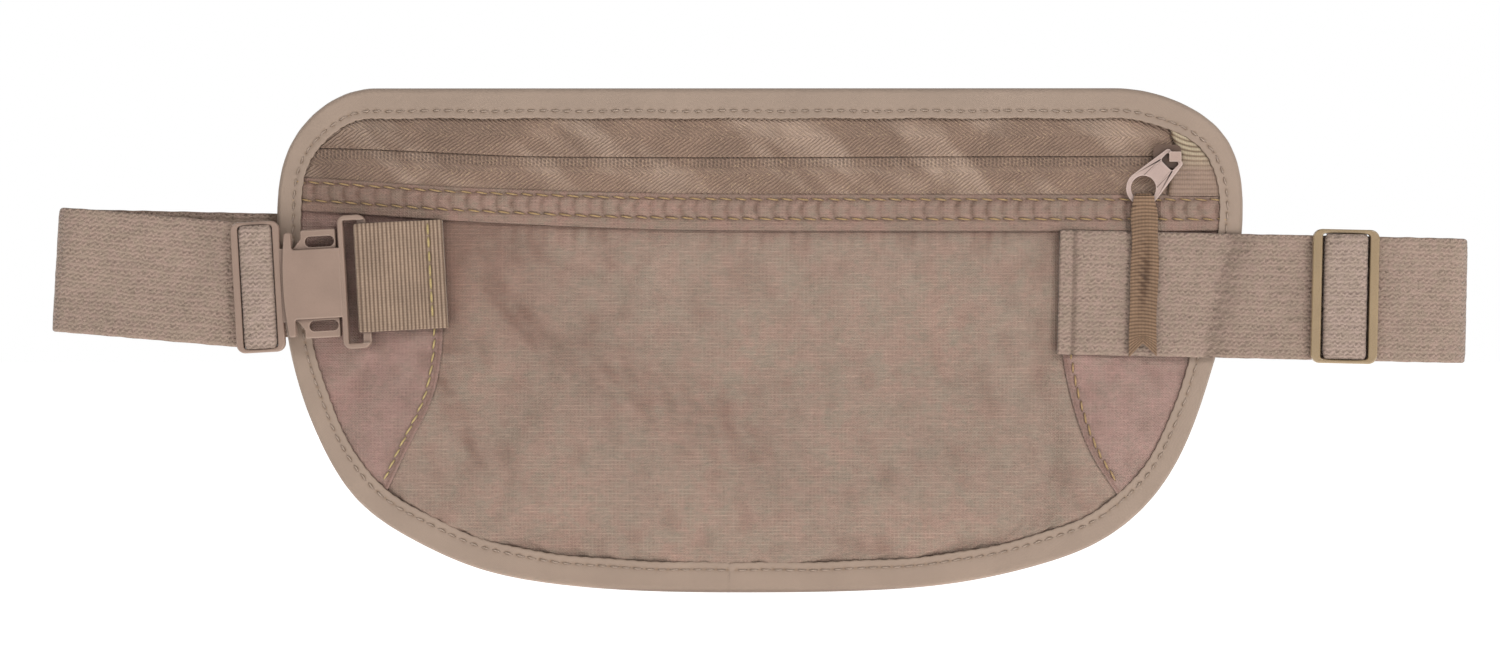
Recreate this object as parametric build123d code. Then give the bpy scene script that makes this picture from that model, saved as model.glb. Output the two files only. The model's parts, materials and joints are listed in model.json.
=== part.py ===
from build123d import *
import math
import os

# A money belt: a flat zipped pouch on an elastic waist strap, closed by a side release buckle.
# Millimetres. The pouch stands upright in the X-Z plane. X runs along the belt to the wearer's
# left-hand end with the zip closed, Z is up, and the front of the pouch faces -Y.
# The origin is the middle of the pouch, on the rear face of its back panel.

# ---- pouch ----
POUCH_HALF_WIDTH = 145.5
POUCH_TOP = 75.8
POUCH_BOTTOM = -76.0
POCKET_DEPTH = 4.7           # clear space between the two panels
CLOTH = 0.5                  # thickness of every woven panel
LAYER_GAP = 0.02             # air between two cloth layers that lie on each other
BINDING_WIDTH = 8.6
OUTLINE_FACETS = 90          # facets along the curved part of the outline
BINDING_WALL = 0.6
SEAM_ALLOWANCE = 0.8         # the panels stop this far inside the binding's outer edge

# depths of the pouch's layers, each as (rear Y, front Y)
BACK_LAYER = (0.0, -CLOTH)
FRONT_LAYER = (-CLOTH - POCKET_DEPTH, -2 * CLOTH - POCKET_DEPTH)
FACING_LAYER = (FRONT_LAYER[1] - LAYER_GAP, FRONT_LAYER[1] - CLOTH)
BINDING_REAR = 0.6
BINDING_FRONT = FACING_LAYER[1] - 0.6

# ---- zip ----
ZIP_Z = 55.2
ZIP_SLIT = 1.0               # gap between the two tapes, where the slider's neck runs
COIL_WIDTH = 1.8
COIL_DEPTH = 1.7
SLIDER_LENGTH = 8.4
SLIDER_HEIGHT = 7.0
SLIDER_RIGHT = 126.4         # right end of the slider with the zip closed
BAIL_X = 124.3               # middle of the eye that holds the pull tab
BAIL_Z = ZIP_Z - 0.2
PULL_TAB_Y = FACING_LAYER[1] - 1.4
PULL_TAB_THICKNESS = 0.8
PULL_TAB_ANGLE = 45.0        # the tab hangs down and to the left
PULL_TAB_REACH = 13.3        # from the eye to the middle of the round hole
PULL_TAB_ROUND = 5.2         # radius of the tab's round end
PULL_TAB_HOLE = 3.75         # radius of the hole for the ribbon
LOOP_INNER = 1.05            # radii of the ribbon's loop round the tab's rim
LOOP_OUTER = 1.4
LOOP_WIDTH = 2.4             # the ribbon is bunched to this width inside the hole
RIBBON_WIDTH = 8.2
RIBBON_BOTTOM = -4.5
RIBBON_NOTCH = 3.2           # depth of the swallowtail
LEAF_BEND = 36.6             # height under which the rear leaf lies against the front one
GARAGE_LEFT = 126.6
GARAGE_TOP = 66.0

# ---- strap ----
STRAP_WIDTH = 37.4
STRAP_THICKNESS = 1.3
STRAP_GAP = 0.1              # between the strap's two layers
STRAP_TILT = 1.25            # degrees that the whole strap falls to the right
STRAP_LEFT_RUN_TILT = 4.9    # degrees that the short front run at the left falls to the right
STRAP_RIGHT_FOLD = 212.4
STRAP_LEFT_FOLD = -211.8
LEFT_RUN_START = -205.5      # left end of that short run
LEFT_RUN_LENGTH = 58.5
STRAP_RIGHT_Z = 11.8         # height of the strap's centre line at the right fold
STRAP_SPLIT = -100.0         # where the moving and the fixed part of the elastic meet
STRAP_HEM = 89.0             # left end of the run sewn on the right wing
HEM_LENGTH = 14.0            # the turned-in end is thicker over this length
HEM_THICKNESS = 2.0
STRAP_FRONT = -8.25          # front face of the strap's front run
FOLD_Y = -2.35               # depth of the axis that both folds turn about
OUTER_RADIUS = FOLD_Y - STRAP_FRONT
INNER_RADIUS = OUTER_RADIUS - STRAP_THICKNESS - STRAP_GAP
RETURN_END = 170.0           # end of the strap's second layer, under the adjuster

# ---- adjuster ----
ADJUSTER_X = 174.9
ADJUSTER_Z = 13.1
ADJUSTER_LENGTH = 19.8
ADJUSTER_HEIGHT = 40.1
ADJUSTER_BAR = 2.8

# ---- buckle, in its own frame: U along the belt to the right, V up, both from the socket's mouth ----
BUCKLE_X = -142.2
BUCKLE_Z = 16.35
BUCKLE_TILT = 3.2            # degrees that the buckle rises to the right
BUCKLE_REAR = -6.95
BUCKLE_FRONT = -12.4
SHELL_WALL = 1.2
EAR_HALF_HEIGHT = 15.6
PLATE_HALF_HEIGHT = 10.4
WINDOW_LEFT = 2.9
FRAME_LEFT = 16.9
FRAME_RIGHT = 25.2
FRAME_HALF_HEIGHT = 20.0
FRAME_BAR = 1.6
WEB_BAR = 2.3
WEB_BAR_REAR = -8.8
WEB_BAR_FRONT = -11.0
LADDER_LEFT = -15.2
LADDER_RIGHT = -0.6
LADDER_HALF_HEIGHT = 19.6
PLUG_REAR = BUCKLE_REAR - SHELL_WALL - 0.15
PLUG_FRONT = BUCKLE_FRONT + SHELL_WALL + 0.15
PRONG_PIVOT_U = 2.7
PRONG_PIVOT_V = 9.6
TAB_WIDTH = 32.6
TAB_V = 1.0
TAB_RIGHT = 48.2


def slab(face, rear, front):
    """Thicken a face drawn in X and Z so that it fills the depth from rear to front."""
    return extrude(Plane.XZ.offset(-rear) * face, amount=rear - front, dir=(0, -1, 0))


def column(face, bottom, top):
    """Raise a face drawn in X and Y from the height bottom to the height top."""
    return extrude(Pos(0, 0, bottom) * face, amount=top - bottom, dir=(0, 0, 1))


def write(solid, node):
    export_step(solid, f"parts/{node}.step")


# ------------------------------------------------------------------ pouch
def pouch_curve():
    """A half-moon bag under a straight top: down the right side, along the deep bottom and up the left."""
    return Spline(
        (103, POUCH_TOP), (126, 72), (140.6, 61), (POUCH_HALF_WIDTH, 38), (141.4, 10), (135.6, -10.7),
        (128.3, -31.3), (119.1, -46.6), (101.7, -61), (83.7, -67.8), (60, -73.0), (30, -75.5),
        (-3, POUCH_BOTTOM), (-36, -75.5), (-63, -73.3), (-86.1, -68.4), (-102.3, -61.3), (-121.5, -48),
        (-131.7, -32.2), (-139.8, -10.6), (-143.9, 12), (-POUCH_HALF_WIDTH, 38), (-142.2, 57.5),
        (-130.5, 71.4), (-112, POUCH_TOP),
    )


def parallel(curve, distance):
    """A line of short facets that runs beside a curve, on its right-hand side, at a constant distance."""
    steps = [i / OUTLINE_FACETS for i in range(OUTLINE_FACETS + 1)]
    return Polyline(*[curve @ t + (curve % t).rotate(Axis.Z, -90) * distance for t in steps])


def pouch_face(inset):
    """The pouch's outline, or the one that lies inset inside it."""
    curve = parallel(pouch_curve(), inset)
    return make_face([curve, Line(curve @ 1, curve @ 0)])


def below(points):
    """The half plane under a line of points, as a large face."""
    left, right = points[0][0], points[-1][0]
    return make_face(Polyline(*points, (right, -200), (left, -200), close=True))


pouch = pouch_face(0)
panel = pouch_face(SEAM_ALLOWANCE)
band_top = [(-200, 51), (-137, 49.3), (-99, 46.2), (-40, 44.2), (0, 43.8), (200, 43.4)]
band_bottom = [(-200, 42), (-137, 39.2), (-99, 36.2), (-40, 33.4), (0, 32.9), (200, 33.9)]
under_band_top = below([(x, z - 1.5) for x, z in band_top])
under_band = below([(x, z - 0.1) for x, z in band_bottom])

back_panel = slab(panel, *BACK_LAYER)
front_panel = slab(panel & under_band_top, *FRONT_LAYER)
facing_band = slab((panel & below(band_top)) - below(band_bottom), *FACING_LAYER)

left_wing_edge = Polyline(
    (-95.2, 60), (-95.2, -0.5), (-96, -8.9), (-98.4, -19), (-102.6, -26.3), (-106.2, -33.5),
    (-125, -70), (-200, -70), (-200, 60), close=True,
)
right_wing_edge = Polyline(
    (90.6, 60), (90.6, -4.4), (92.6, -14.7), (95.5, -25.4), (99.5, -35.1), (106.8, -45.5),
    (125, -70), (200, -70), (200, 60), close=True,
)
wing_left = slab(panel & under_band & make_face(left_wing_edge), *FACING_LAYER)
wing_right = slab(panel & under_band & make_face(right_wing_edge), *FACING_LAYER)

# The binding is a U-shaped tape round the whole edge: two lips and the wall between them.
channel_rear = BACK_LAYER[0] + 0.05
channel_front = FACING_LAYER[1] - 0.1
edge_binding = slab(pouch, BINDING_REAR, BINDING_FRONT)
edge_binding -= slab(pouch_face(BINDING_WALL), channel_rear, channel_front)
edge_binding -= slab(pouch_face(BINDING_WIDTH), BINDING_REAR + 1, BINDING_FRONT - 1)

# ------------------------------------------------------------------ zip
slit_top = ZIP_Z + ZIP_SLIT / 2
slit_bottom = ZIP_Z - ZIP_SLIT / 2
above_slit = Pos(0, slit_top + 50) * Rectangle(400, 100)
under_slit = Pos(0, slit_bottom - 50) * Rectangle(400, 100)
zip_tape_upper = slab(panel & above_slit, *FRONT_LAYER)
under_tape = below([(x, z - 1.4) for x, z in band_top])
zip_tape_lower = slab((panel & under_slit) - under_tape, *FRONT_LAYER)


def coil(z):
    """One half of the coil, sewn behind its tape, as a plain bar of the coil's outer size."""
    length = 2 * POUCH_HALF_WIDTH - 14
    bar = Box(length, COIL_DEPTH, COIL_WIDTH)
    bar = fillet(bar.edges().filter_by(Axis.X), 0.4)
    return Pos(0, FRONT_LAYER[0] + LAYER_GAP + COIL_DEPTH / 2, z) * bar


zip_coil_upper = coil(slit_top + 0.2 + COIL_WIDTH / 2)
zip_coil_lower = coil(slit_bottom - 0.2 - COIL_WIDTH / 2)

garage = Pos((GARAGE_LEFT + 200) / 2, (GARAGE_TOP + 20) / 2) * Rectangle(200 - GARAGE_LEFT, GARAGE_TOP - 20)
zip_garage_tab = slab((panel & garage) - below([(x, z + 0.1) for x, z in band_top]), *FACING_LAYER)


def slider():
    """Front and rear plates joined by a neck in the slit, with the bail on the front plate."""
    middle = SLIDER_RIGHT - SLIDER_LENGTH / 2
    plate = Pos(middle, ZIP_Z) * RectangleRounded(SLIDER_LENGTH, SLIDER_HEIGHT, 1.8)
    front_rear_face = FRONT_LAYER[1] - 0.1
    front_plate = slab(plate, front_rear_face, front_rear_face - 0.8)
    rear_front_face = FRONT_LAYER[0] + COIL_DEPTH + 0.2
    rear_plate = slab(plate, rear_front_face + 0.8, rear_front_face)
    neck = slab(Pos(middle - 1, ZIP_Z) * Rectangle(3.2, ZIP_SLIT - 0.2), rear_front_face, front_rear_face)
    body = front_plate + rear_plate + neck
    bail_foot = front_rear_face - 0.7
    for side in (-1, 1):
        post = Pos(BAIL_X + side * 1.6, BAIL_Z) * Rectangle(0.4, 0.9)
        body += slab(post, bail_foot, PULL_TAB_Y - 1.1)
    crown = Pos(BAIL_X, BAIL_Z) * RectangleRounded(3.6, 3.0, 0.3)
    return body + slab(crown, PULL_TAB_Y - 0.9, PULL_TAB_Y - 1.6)


def pull_tab():
    """A teardrop plate with a square hole for the bail and a round hole for the ribbon."""
    narrow = Pos(2.2, 0) * RectangleRounded(5.4, 6.8, 1.0)
    wide = Pos(PULL_TAB_REACH, 0) * Circle(PULL_TAB_ROUND)
    plate = make_hull(narrow.edges() + wide.edges())
    plate -= Pos(2.1, 0) * RectangleRounded(3.2, 4.8, 0.8)
    plate -= Pos(PULL_TAB_REACH, 0) * Circle(PULL_TAB_HOLE)
    placed = Pos(BAIL_X, BAIL_Z) * Rot(0, 0, 180 + PULL_TAB_ANGLE) * plate
    half = PULL_TAB_THICKNESS / 2
    return slab(placed, PULL_TAB_Y + half, PULL_TAB_Y - half)


# The ribbon is threaded through the round hole and both its leaves hang down together.
tab_angle = math.radians(PULL_TAB_ANGLE)
hole_x = BAIL_X - PULL_TAB_REACH * math.cos(tab_angle)
hole_z = BAIL_Z - PULL_TAB_REACH * math.sin(tab_angle)
rim_z = hole_z - (PULL_TAB_HOLE + PULL_TAB_ROUND) / 2       # middle of the rim under the hole


def pull_ribbon():
    """A flat ribbon bunched to a loop round the tab's rim, with two leaves and a swallowtail end."""
    rim = Pos(PULL_TAB_Y, rim_z)
    loop = rim * (Circle(LOOP_OUTER) - Circle(LOOP_INNER))
    neck_bottom = rim_z - 1.2
    leaf = LOOP_OUTER - LOOP_INNER
    front_y = PULL_TAB_Y - LOOP_OUTER + leaf / 2
    rear_y = PULL_TAB_Y + LOOP_OUTER - leaf / 2
    necks = [Pos(y, (rim_z + neck_bottom) / 2) * Rectangle(leaf, 1.2) for y in (front_y, rear_y)]
    narrow = extrude(Plane.YZ.offset(hole_x - LOOP_WIDTH / 2) * (loop + necks), amount=LOOP_WIDTH)
    leaf_length = neck_bottom - RIBBON_BOTTOM
    front_leaf = Pos(front_y, RIBBON_BOTTOM + leaf_length / 2) * Rectangle(leaf, leaf_length)
    step = front_y + leaf
    rear_leaf = make_face(Polyline(
        (rear_y + leaf / 2, neck_bottom), (rear_y - leaf / 2, neck_bottom), (rear_y - leaf / 2, LEAF_BEND),
        (step - leaf / 2, LEAF_BEND - 2), (step - leaf / 2, RIBBON_BOTTOM), (step + leaf / 2, RIBBON_BOTTOM),
        (step + leaf / 2, LEAF_BEND - 2.2), (rear_y + leaf / 2, LEAF_BEND - 0.2), close=True,
    ))
    left, right = hole_x - RIBBON_WIDTH / 2, hole_x + RIBBON_WIDTH / 2
    leaves = extrude(Plane.YZ.offset(left) * (front_leaf + rear_leaf), amount=RIBBON_WIDTH)
    notch = make_face(Polyline(
        (left, RIBBON_BOTTOM - 1), (hole_x, RIBBON_BOTTOM + RIBBON_NOTCH), (right, RIBBON_BOTTOM - 1),
        close=True,
    ))
    return narrow + leaves - slab(notch, 0, -20)


zip_slider = slider()
zip_pull_tab = pull_tab()
zip_pull_ribbon = pull_ribbon()

# ------------------------------------------------------------------ strap


def strap_z(x):
    """Height of the strap's centre line."""
    return STRAP_RIGHT_Z + (STRAP_RIGHT_FOLD - x) * math.tan(math.radians(STRAP_TILT))


def hairpin(radius, fold_x, front_x, rear_x):
    """The strap seen from above: a front run and a rear run joined by a half-round fold."""
    inner = radius - STRAP_THICKNESS
    side = 1 if fold_x > 0 else -1
    centre_x = fold_x - side * OUTER_RADIUS
    ring = Pos(centre_x, FOLD_Y) * (Circle(radius) - Circle(inner))
    ring &= Pos(centre_x + side * radius / 2, FOLD_Y) * Rectangle(radius, 2 * radius)
    mid = radius - STRAP_THICKNESS / 2
    runs = [
        Pos((end_x + centre_x) / 2, run_y) * Rectangle(abs(end_x - centre_x), STRAP_THICKNESS)
        for end_x, run_y in ((front_x, FOLD_Y - mid), (rear_x, FOLD_Y + mid))
    ]
    return ring + runs


def tilted(solid, x, degrees):
    """Lay a strap piece, drawn level about height 0, along the strap's line, turning it at x."""
    return Pos(x, 0, strap_z(x)) * Rot(0, degrees, 0) * Pos(-x, 0, 0) * solid


half_strap = STRAP_WIDTH / 2
belt_face = hairpin(OUTER_RADIUS, STRAP_RIGHT_FOLD, STRAP_HEM, STRAP_SPLIT)
strap_belt_run = column(belt_face, -half_strap, half_strap)
hem = Box(HEM_LENGTH, HEM_THICKNESS, STRAP_WIDTH)
hem_y = FACING_LAYER[1] - 0.03 - HEM_THICKNESS / 2
strap_belt_run += Pos(STRAP_HEM + HEM_LENGTH / 2, hem_y, 0) * hem
strap_belt_run = tilted(strap_belt_run, STRAP_RIGHT_FOLD, STRAP_TILT)

return_face = hairpin(INNER_RADIUS, STRAP_RIGHT_FOLD, RETURN_END, STRAP_SPLIT)
strap_return_run = tilted(column(return_face, -half_strap, half_strap), STRAP_RIGHT_FOLD, STRAP_TILT)


# ------------------------------------------------------------------ buckle
def place(solid):
    """Put a solid drawn in the buckle's own frame where the buckle sits."""
    return Pos(BUCKLE_X, 0, BUCKLE_Z) * Rot(0, -BUCKLE_TILT, 0) * solid


def block(left, right, bottom, top, rear, front):
    """A box given by its six sides."""
    face = Pos((left + right) / 2, (bottom + top) / 2) * Rectangle(right - left, top - bottom)
    return slab(face, rear, front)


def round_front(solid, radius):
    """Round the edges of the face that looks to the front."""
    return fillet(solid.faces().sort_by(Axis.Y)[0].edges(), radius)


def round_rear(solid, radius):
    """Round the edges of the face that looks to the rear."""
    return fillet(solid.faces().sort_by(Axis.Y)[-1].edges(), radius)


def shell_face():
    """One shell of the socket: a plate, narrow at the windows, with an ear at each side of the mouth."""
    ear, waist = EAR_HALF_HEIGHT, PLATE_HALF_HEIGHT
    mouth = ThreePointArc((0.9, -ear), (-0.2, 0), (0.9, ear))
    rest = Polyline(
        (0.9, ear), (WINDOW_LEFT, ear), (WINDOW_LEFT, waist), (FRAME_LEFT + 0.4, waist),
        (FRAME_LEFT + 0.4, -waist), (WINDOW_LEFT, -waist), (WINDOW_LEFT, -ear), (0.9, -ear),
    )
    face = make_face([mouth, rest])
    corners = face.vertices().filter_by(lambda v: v.X < 5)
    return fillet(corners, 0.8)


def socket():
    """Two shells on two inner rails, with a slotted frame at the right whose thin bar holds the webbing."""
    front = round_front(slab(shell_face(), BUCKLE_FRONT + SHELL_WALL, BUCKLE_FRONT), 0.45)
    rear = round_rear(slab(shell_face(), BUCKLE_REAR, BUCKLE_REAR - SHELL_WALL), 0.45)
    body = front + rear
    for side in (-1, 1):
        low, high = sorted((side * 3.6, side * 4.8))
        body += block(3.5, FRAME_LEFT + 0.5, low, high, BUCKLE_REAR - 0.5, BUCKLE_FRONT + 0.5)
    middle = (FRAME_LEFT + FRAME_RIGHT) / 2
    outer = Pos(middle, 0) * RectangleRounded(FRAME_RIGHT - FRAME_LEFT, 2 * FRAME_HALF_HEIGHT, 2.4)
    slot_left, slot_right = FRAME_LEFT + FRAME_BAR, FRAME_RIGHT - WEB_BAR
    slot = Pos((slot_left + slot_right) / 2, 0) * RectangleRounded(
        slot_right - slot_left, 2 * (FRAME_HALF_HEIGHT - FRAME_BAR), 0.6
    )
    frame = slab(outer - slot, BUCKLE_REAR - 0.3, BUCKLE_FRONT + 0.35)
    frame = round_rear(round_front(frame, 0.5), 0.5)
    bar_relief = Pos((slot_left + FRAME_RIGHT) / 2 + 0.2, 0) * Rectangle(
        FRAME_RIGHT - slot_left + 0.4, 2 * (FRAME_HALF_HEIGHT - FRAME_BAR)
    )
    frame -= slab(bar_relief, 0, WEB_BAR_REAR)
    frame -= slab(bar_relief, WEB_BAR_FRONT, -20)
    return place(body + frame)


def ladder_frame(left, right, half_height, side_bar, end_bar, rear, front):
    """A rounded frame with a centre bar, as on any strap adjuster."""
    middle = (left + right) / 2
    outer = Pos(middle, 0) * RectangleRounded(right - left, 2 * half_height, 2.7)
    window = Pos(middle, 0) * RectangleRounded(right - left - 2 * side_bar, 2 * (half_height - end_bar), 0.9)
    frame = slab(outer - window, rear, front)
    frame = round_rear(round_front(frame, 0.55), 0.55)
    reach = half_height - 0.6
    return frame + block(middle - 1.3, middle + 1.3, -reach, reach, rear - 0.45, front + 0.55)


def plug():
    """The strap's ladder frame, the crosspiece that carries the prongs and the middle tongue."""
    frame = ladder_frame(
        LADDER_LEFT, LADDER_RIGHT, LADDER_HALF_HEIGHT, 2.2, 1.25, PLUG_REAR - 0.1, PLUG_FRONT - 0.15
    )
    base = block(LADDER_RIGHT - 0.6, PRONG_PIVOT_U - 0.2, -11, 11, PLUG_REAR, PLUG_FRONT)
    tongue = block(PRONG_PIVOT_U - 0.5, 13.2, -3.2, 3.2, PLUG_REAR, PLUG_FRONT)
    return place(frame + base + tongue)


def prong(side):
    """A spring arm with a thumb pad that fills the socket's window, pierced by an oval hole."""
    outline = make_face(Polyline(
        (PRONG_PIVOT_U, 8.4), (16.2, 8.8), (16.2, 16.2), (5.6, 16.2), (5.5, 13.6),
        (3.4, 11.0), (PRONG_PIVOT_U, 10.8), close=True,
    ))
    outline = fillet(outline.vertices().filter_by(lambda v: v.X > 5.55), 0.6)
    oval = Pos(11.3, 12.6) * SlotOverall(8.8, 3.2)
    arm = slab(outline - oval, PLUG_REAR, PLUG_FRONT)
    front_rim = arm.faces().sort_by(Axis.Y)[0].outer_wire().edges()
    arm = chamfer(front_rim, 0.3)
    return place(arm if side > 0 else mirror(arm, about=Plane.XY))


def webbing_tab():
    """Webbing looped round the socket's bar, with both layers brought down to the left wing."""
    skin = Polyline(
        (22.2, -12.45), (31, -12.45), (36, -11.2), (41, -8.9), (TAB_RIGHT, -8.9),
        (TAB_RIGHT, FACING_LAYER[1] - 0.05), (38, FACING_LAYER[1] - 0.05), (33, -7.3), (22.2, -7.3),
        (21.5, -8.0), (21.5, -11.75), close=True,
    )
    hollow = Polyline(
        (22.8, -11.15), (30.8, -11.15), (35.2, -10.0), (38.2, -8.2), (33.2, -8.6), (22.8, -8.6),
        close=True,
    )
    loop = make_face(skin) - make_face(hollow)
    return place(column(loop, TAB_V - TAB_WIDTH / 2, TAB_V + TAB_WIDTH / 2))


def buckle_strap_end():
    """The elastic's left end: in to the plug's centre bar, over it, and back as the second layer."""
    loop = Part()
    for radius in (OUTER_RADIUS, INNER_RADIUS):
        face = hairpin(radius, STRAP_LEFT_FOLD, LEFT_RUN_START + 0.5, STRAP_SPLIT - 0.2)
        loop += tilted(column(face, -half_strap, half_strap), 0, STRAP_TILT)
    rear = STRAP_FRONT + 2 * STRAP_THICKNESS + STRAP_GAP
    layers = [(STRAP_FRONT + STRAP_THICKNESS, STRAP_FRONT), (rear, rear - STRAP_THICKNESS)]
    for layer_rear, layer_front in layers:
        face = Pos(LEFT_RUN_LENGTH / 2, 0) * Rectangle(LEFT_RUN_LENGTH, STRAP_WIDTH)
        run = Rot(0, STRAP_LEFT_RUN_TILT, 0) * slab(face, layer_rear, layer_front)
        loop += Pos(LEFT_RUN_START, 0, strap_z(LEFT_RUN_START)) * run
    middle = (LADDER_LEFT + LADDER_RIGHT) / 2
    sleeve = block(middle - 4.7, middle + 4.7, -18.1, 18.1, rear, -12.2)
    sleeve = fillet(sleeve.faces().sort_by(Axis.Y)[0].edges(), 1.5)
    sleeve -= block(middle - 1.6, middle + 1.6, -30, 30, STRAP_FRONT - 0.1, PLUG_FRONT + 0.1)
    return loop + place(sleeve)


buckle_socket = socket()
buckle_plug = plug()
buckle_prong_upper = prong(1)
buckle_prong_lower = prong(-1)
buckle_webbing_tab = webbing_tab()
strap_buckle_run = buckle_strap_end()


# ------------------------------------------------------------------ adjuster
def on_strap(solid):
    """Put a solid drawn about the adjuster's own middle where the adjuster sits on the strap."""
    return Pos(ADJUSTER_X, 0, ADJUSTER_Z) * Rot(0, STRAP_TILT, 0) * solid


half_length = ADJUSTER_LENGTH / 2
adjuster_rear = STRAP_FRONT - 0.15
adjuster_frame = ladder_frame(
    -half_length, half_length, ADJUSTER_HEIGHT / 2, ADJUSTER_BAR, 1.3, adjuster_rear, adjuster_rear - 2.8
)
end_loop = block(-6.3, 6.3, -18.55, 18.55, STRAP_FRONT - 0.05, -12.3)
end_loop = fillet(end_loop.faces().sort_by(Axis.Y)[0].edges(), 1.6)
end_loop -= block(-1.6, 1.6, -30, 30, adjuster_rear - 0.2, adjuster_rear - 2.5)

adjuster_frame = on_strap(adjuster_frame)
strap_end_loop = on_strap(end_loop)

# ------------------------------------------------------------------ files
os.makedirs("parts", exist_ok=True)
NODES = {
    "back_panel": back_panel,
    "front_panel": front_panel,
    "wing_left": wing_left,
    "wing_right": wing_right,
    "facing_band": facing_band,
    "edge_binding": edge_binding,
    "zip_tape_upper": zip_tape_upper,
    "zip_tape_lower": zip_tape_lower,
    "zip_coil_upper": zip_coil_upper,
    "zip_coil_lower": zip_coil_lower,
    "zip_garage_tab": zip_garage_tab,
    "zip_slider": zip_slider,
    "zip_pull_tab": zip_pull_tab,
    "zip_pull_ribbon": zip_pull_ribbon,
    "buckle_webbing_tab": buckle_webbing_tab,
    "buckle_socket": buckle_socket,
    "buckle_plug": buckle_plug,
    "buckle_prong_upper": buckle_prong_upper,
    "buckle_prong_lower": buckle_prong_lower,
    "strap_buckle_run": strap_buckle_run,
    "strap_belt_run": strap_belt_run,
    "strap_return_run": strap_return_run,
    "adjuster_frame": adjuster_frame,
    "strap_end_loop": strap_end_loop,
}
for node, solid in NODES.items():
    write(solid, node)
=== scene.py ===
import json
import math

import bpy
import numpy as np
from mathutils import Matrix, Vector
from mathutils.geometry import convex_hull_2d


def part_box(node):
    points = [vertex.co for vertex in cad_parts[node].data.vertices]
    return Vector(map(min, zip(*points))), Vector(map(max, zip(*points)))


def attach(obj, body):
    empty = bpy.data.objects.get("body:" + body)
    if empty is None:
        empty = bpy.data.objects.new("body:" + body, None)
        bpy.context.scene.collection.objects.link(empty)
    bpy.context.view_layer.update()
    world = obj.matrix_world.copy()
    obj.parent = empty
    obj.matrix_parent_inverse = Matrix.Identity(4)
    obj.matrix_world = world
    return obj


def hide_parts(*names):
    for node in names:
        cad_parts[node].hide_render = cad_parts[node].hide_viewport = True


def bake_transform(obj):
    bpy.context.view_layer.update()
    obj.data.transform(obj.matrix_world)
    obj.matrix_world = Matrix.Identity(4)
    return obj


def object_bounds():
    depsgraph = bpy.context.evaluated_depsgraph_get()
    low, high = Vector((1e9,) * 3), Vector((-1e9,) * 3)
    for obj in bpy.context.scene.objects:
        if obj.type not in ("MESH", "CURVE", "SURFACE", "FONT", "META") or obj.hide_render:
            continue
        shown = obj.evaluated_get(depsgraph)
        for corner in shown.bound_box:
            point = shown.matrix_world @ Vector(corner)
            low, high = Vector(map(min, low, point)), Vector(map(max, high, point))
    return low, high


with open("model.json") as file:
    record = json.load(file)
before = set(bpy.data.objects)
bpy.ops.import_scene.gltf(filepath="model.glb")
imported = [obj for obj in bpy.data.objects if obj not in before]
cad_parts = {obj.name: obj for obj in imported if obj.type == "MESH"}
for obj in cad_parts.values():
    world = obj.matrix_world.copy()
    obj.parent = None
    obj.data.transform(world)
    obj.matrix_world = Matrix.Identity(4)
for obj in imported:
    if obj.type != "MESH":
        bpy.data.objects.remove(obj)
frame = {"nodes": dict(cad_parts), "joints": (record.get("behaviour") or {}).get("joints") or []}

# All shapes are worked out in millimetres and written to Blender in metres.
MM = 0.001
CAD_BOUNDS = [list(corner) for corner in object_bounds()]
JOINTS = {joint["name"]: joint for joint in frame["joints"]}


# ---------------------------------------------------------------- measures taken from the frame
def box(node):
    """Lowest and highest corner of a CAD node, in millimetres."""
    low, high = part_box(node)
    return np.array(low) / MM, np.array(high) / MM


def outline_of(node):
    """The outer outline of a flat node in X and Z, as evenly spaced points that run clockwise from the front."""
    points = [(v.co.x / MM, v.co.z / MM) for v in frame["nodes"][node].data.vertices]
    hull = np.array([points[i] for i in convex_hull_2d(points)])
    area = np.sum(hull[:, 0] * np.roll(hull[:, 1], -1) - np.roll(hull[:, 0], -1) * hull[:, 1])
    if area > 0:
        hull = hull[::-1]
    ring = np.vstack([hull, hull[:1]])
    length = np.concatenate([[0], np.cumsum(np.linalg.norm(np.diff(ring, axis=0), axis=1))])
    where = np.linspace(0, length[-1], 901)[:-1]
    even = np.stack([np.interp(where, length, ring[:, k]) for k in (0, 1)], axis=1)
    return smooth_ring(even, 5)


def smooth_ring(points, passes):
    for _ in range(passes):
        points = (np.roll(points, 1, axis=0) + 2 * points + np.roll(points, -1, axis=0)) / 4
    return points


OUTLINE = outline_of("edge_binding")
TANGENT = np.roll(OUTLINE, -1, axis=0) - np.roll(OUTLINE, 1, axis=0)
TANGENT /= np.linalg.norm(TANGENT, axis=1)[:, None]
INWARD = np.stack([TANGENT[:, 1], -TANGENT[:, 0]], axis=1)
PERIMETER = np.sum(np.linalg.norm(np.roll(OUTLINE, -1, axis=0) - OUTLINE, axis=1))

BACK_Y = box("back_panel")[1][1]
PANEL_Y = -box("front_panel")[0][1]                  # how far the flat front layer stands out
FACING_Y = -box("facing_band")[0][1]
STRAP_FRONT = box("strap_belt_run")[0][1]
STRAP_REAR = box("strap_belt_run")[1][1]
RIGHT_FOLD = box("strap_belt_run")[1][0]
LEFT_FOLD = box("strap_buckle_run")[0][0]
HEM_LEFT = box("strap_return_run")[0][0]
STRAP_THICKNESS = 1.3
STRAP_WIDTH = 37.4
SLIDE_AXIS = JOINTS["adjuster_slide"]["axis"]
STRAP_TILT = math.atan2(-SLIDE_AXIS[2], SLIDE_AXIS[0])
RELEASE_AXIS = JOINTS["plug_release"]["axis"]
BUCKLE_TILT = math.atan2(-RELEASE_AXIS[2], -RELEASE_AXIS[0])
BAND_PITCH = 4.6                                     # stitch length of the facing band
EDGE_DEPTH = 2.7                                     # the pouch is pinched this thin at its edge
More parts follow.
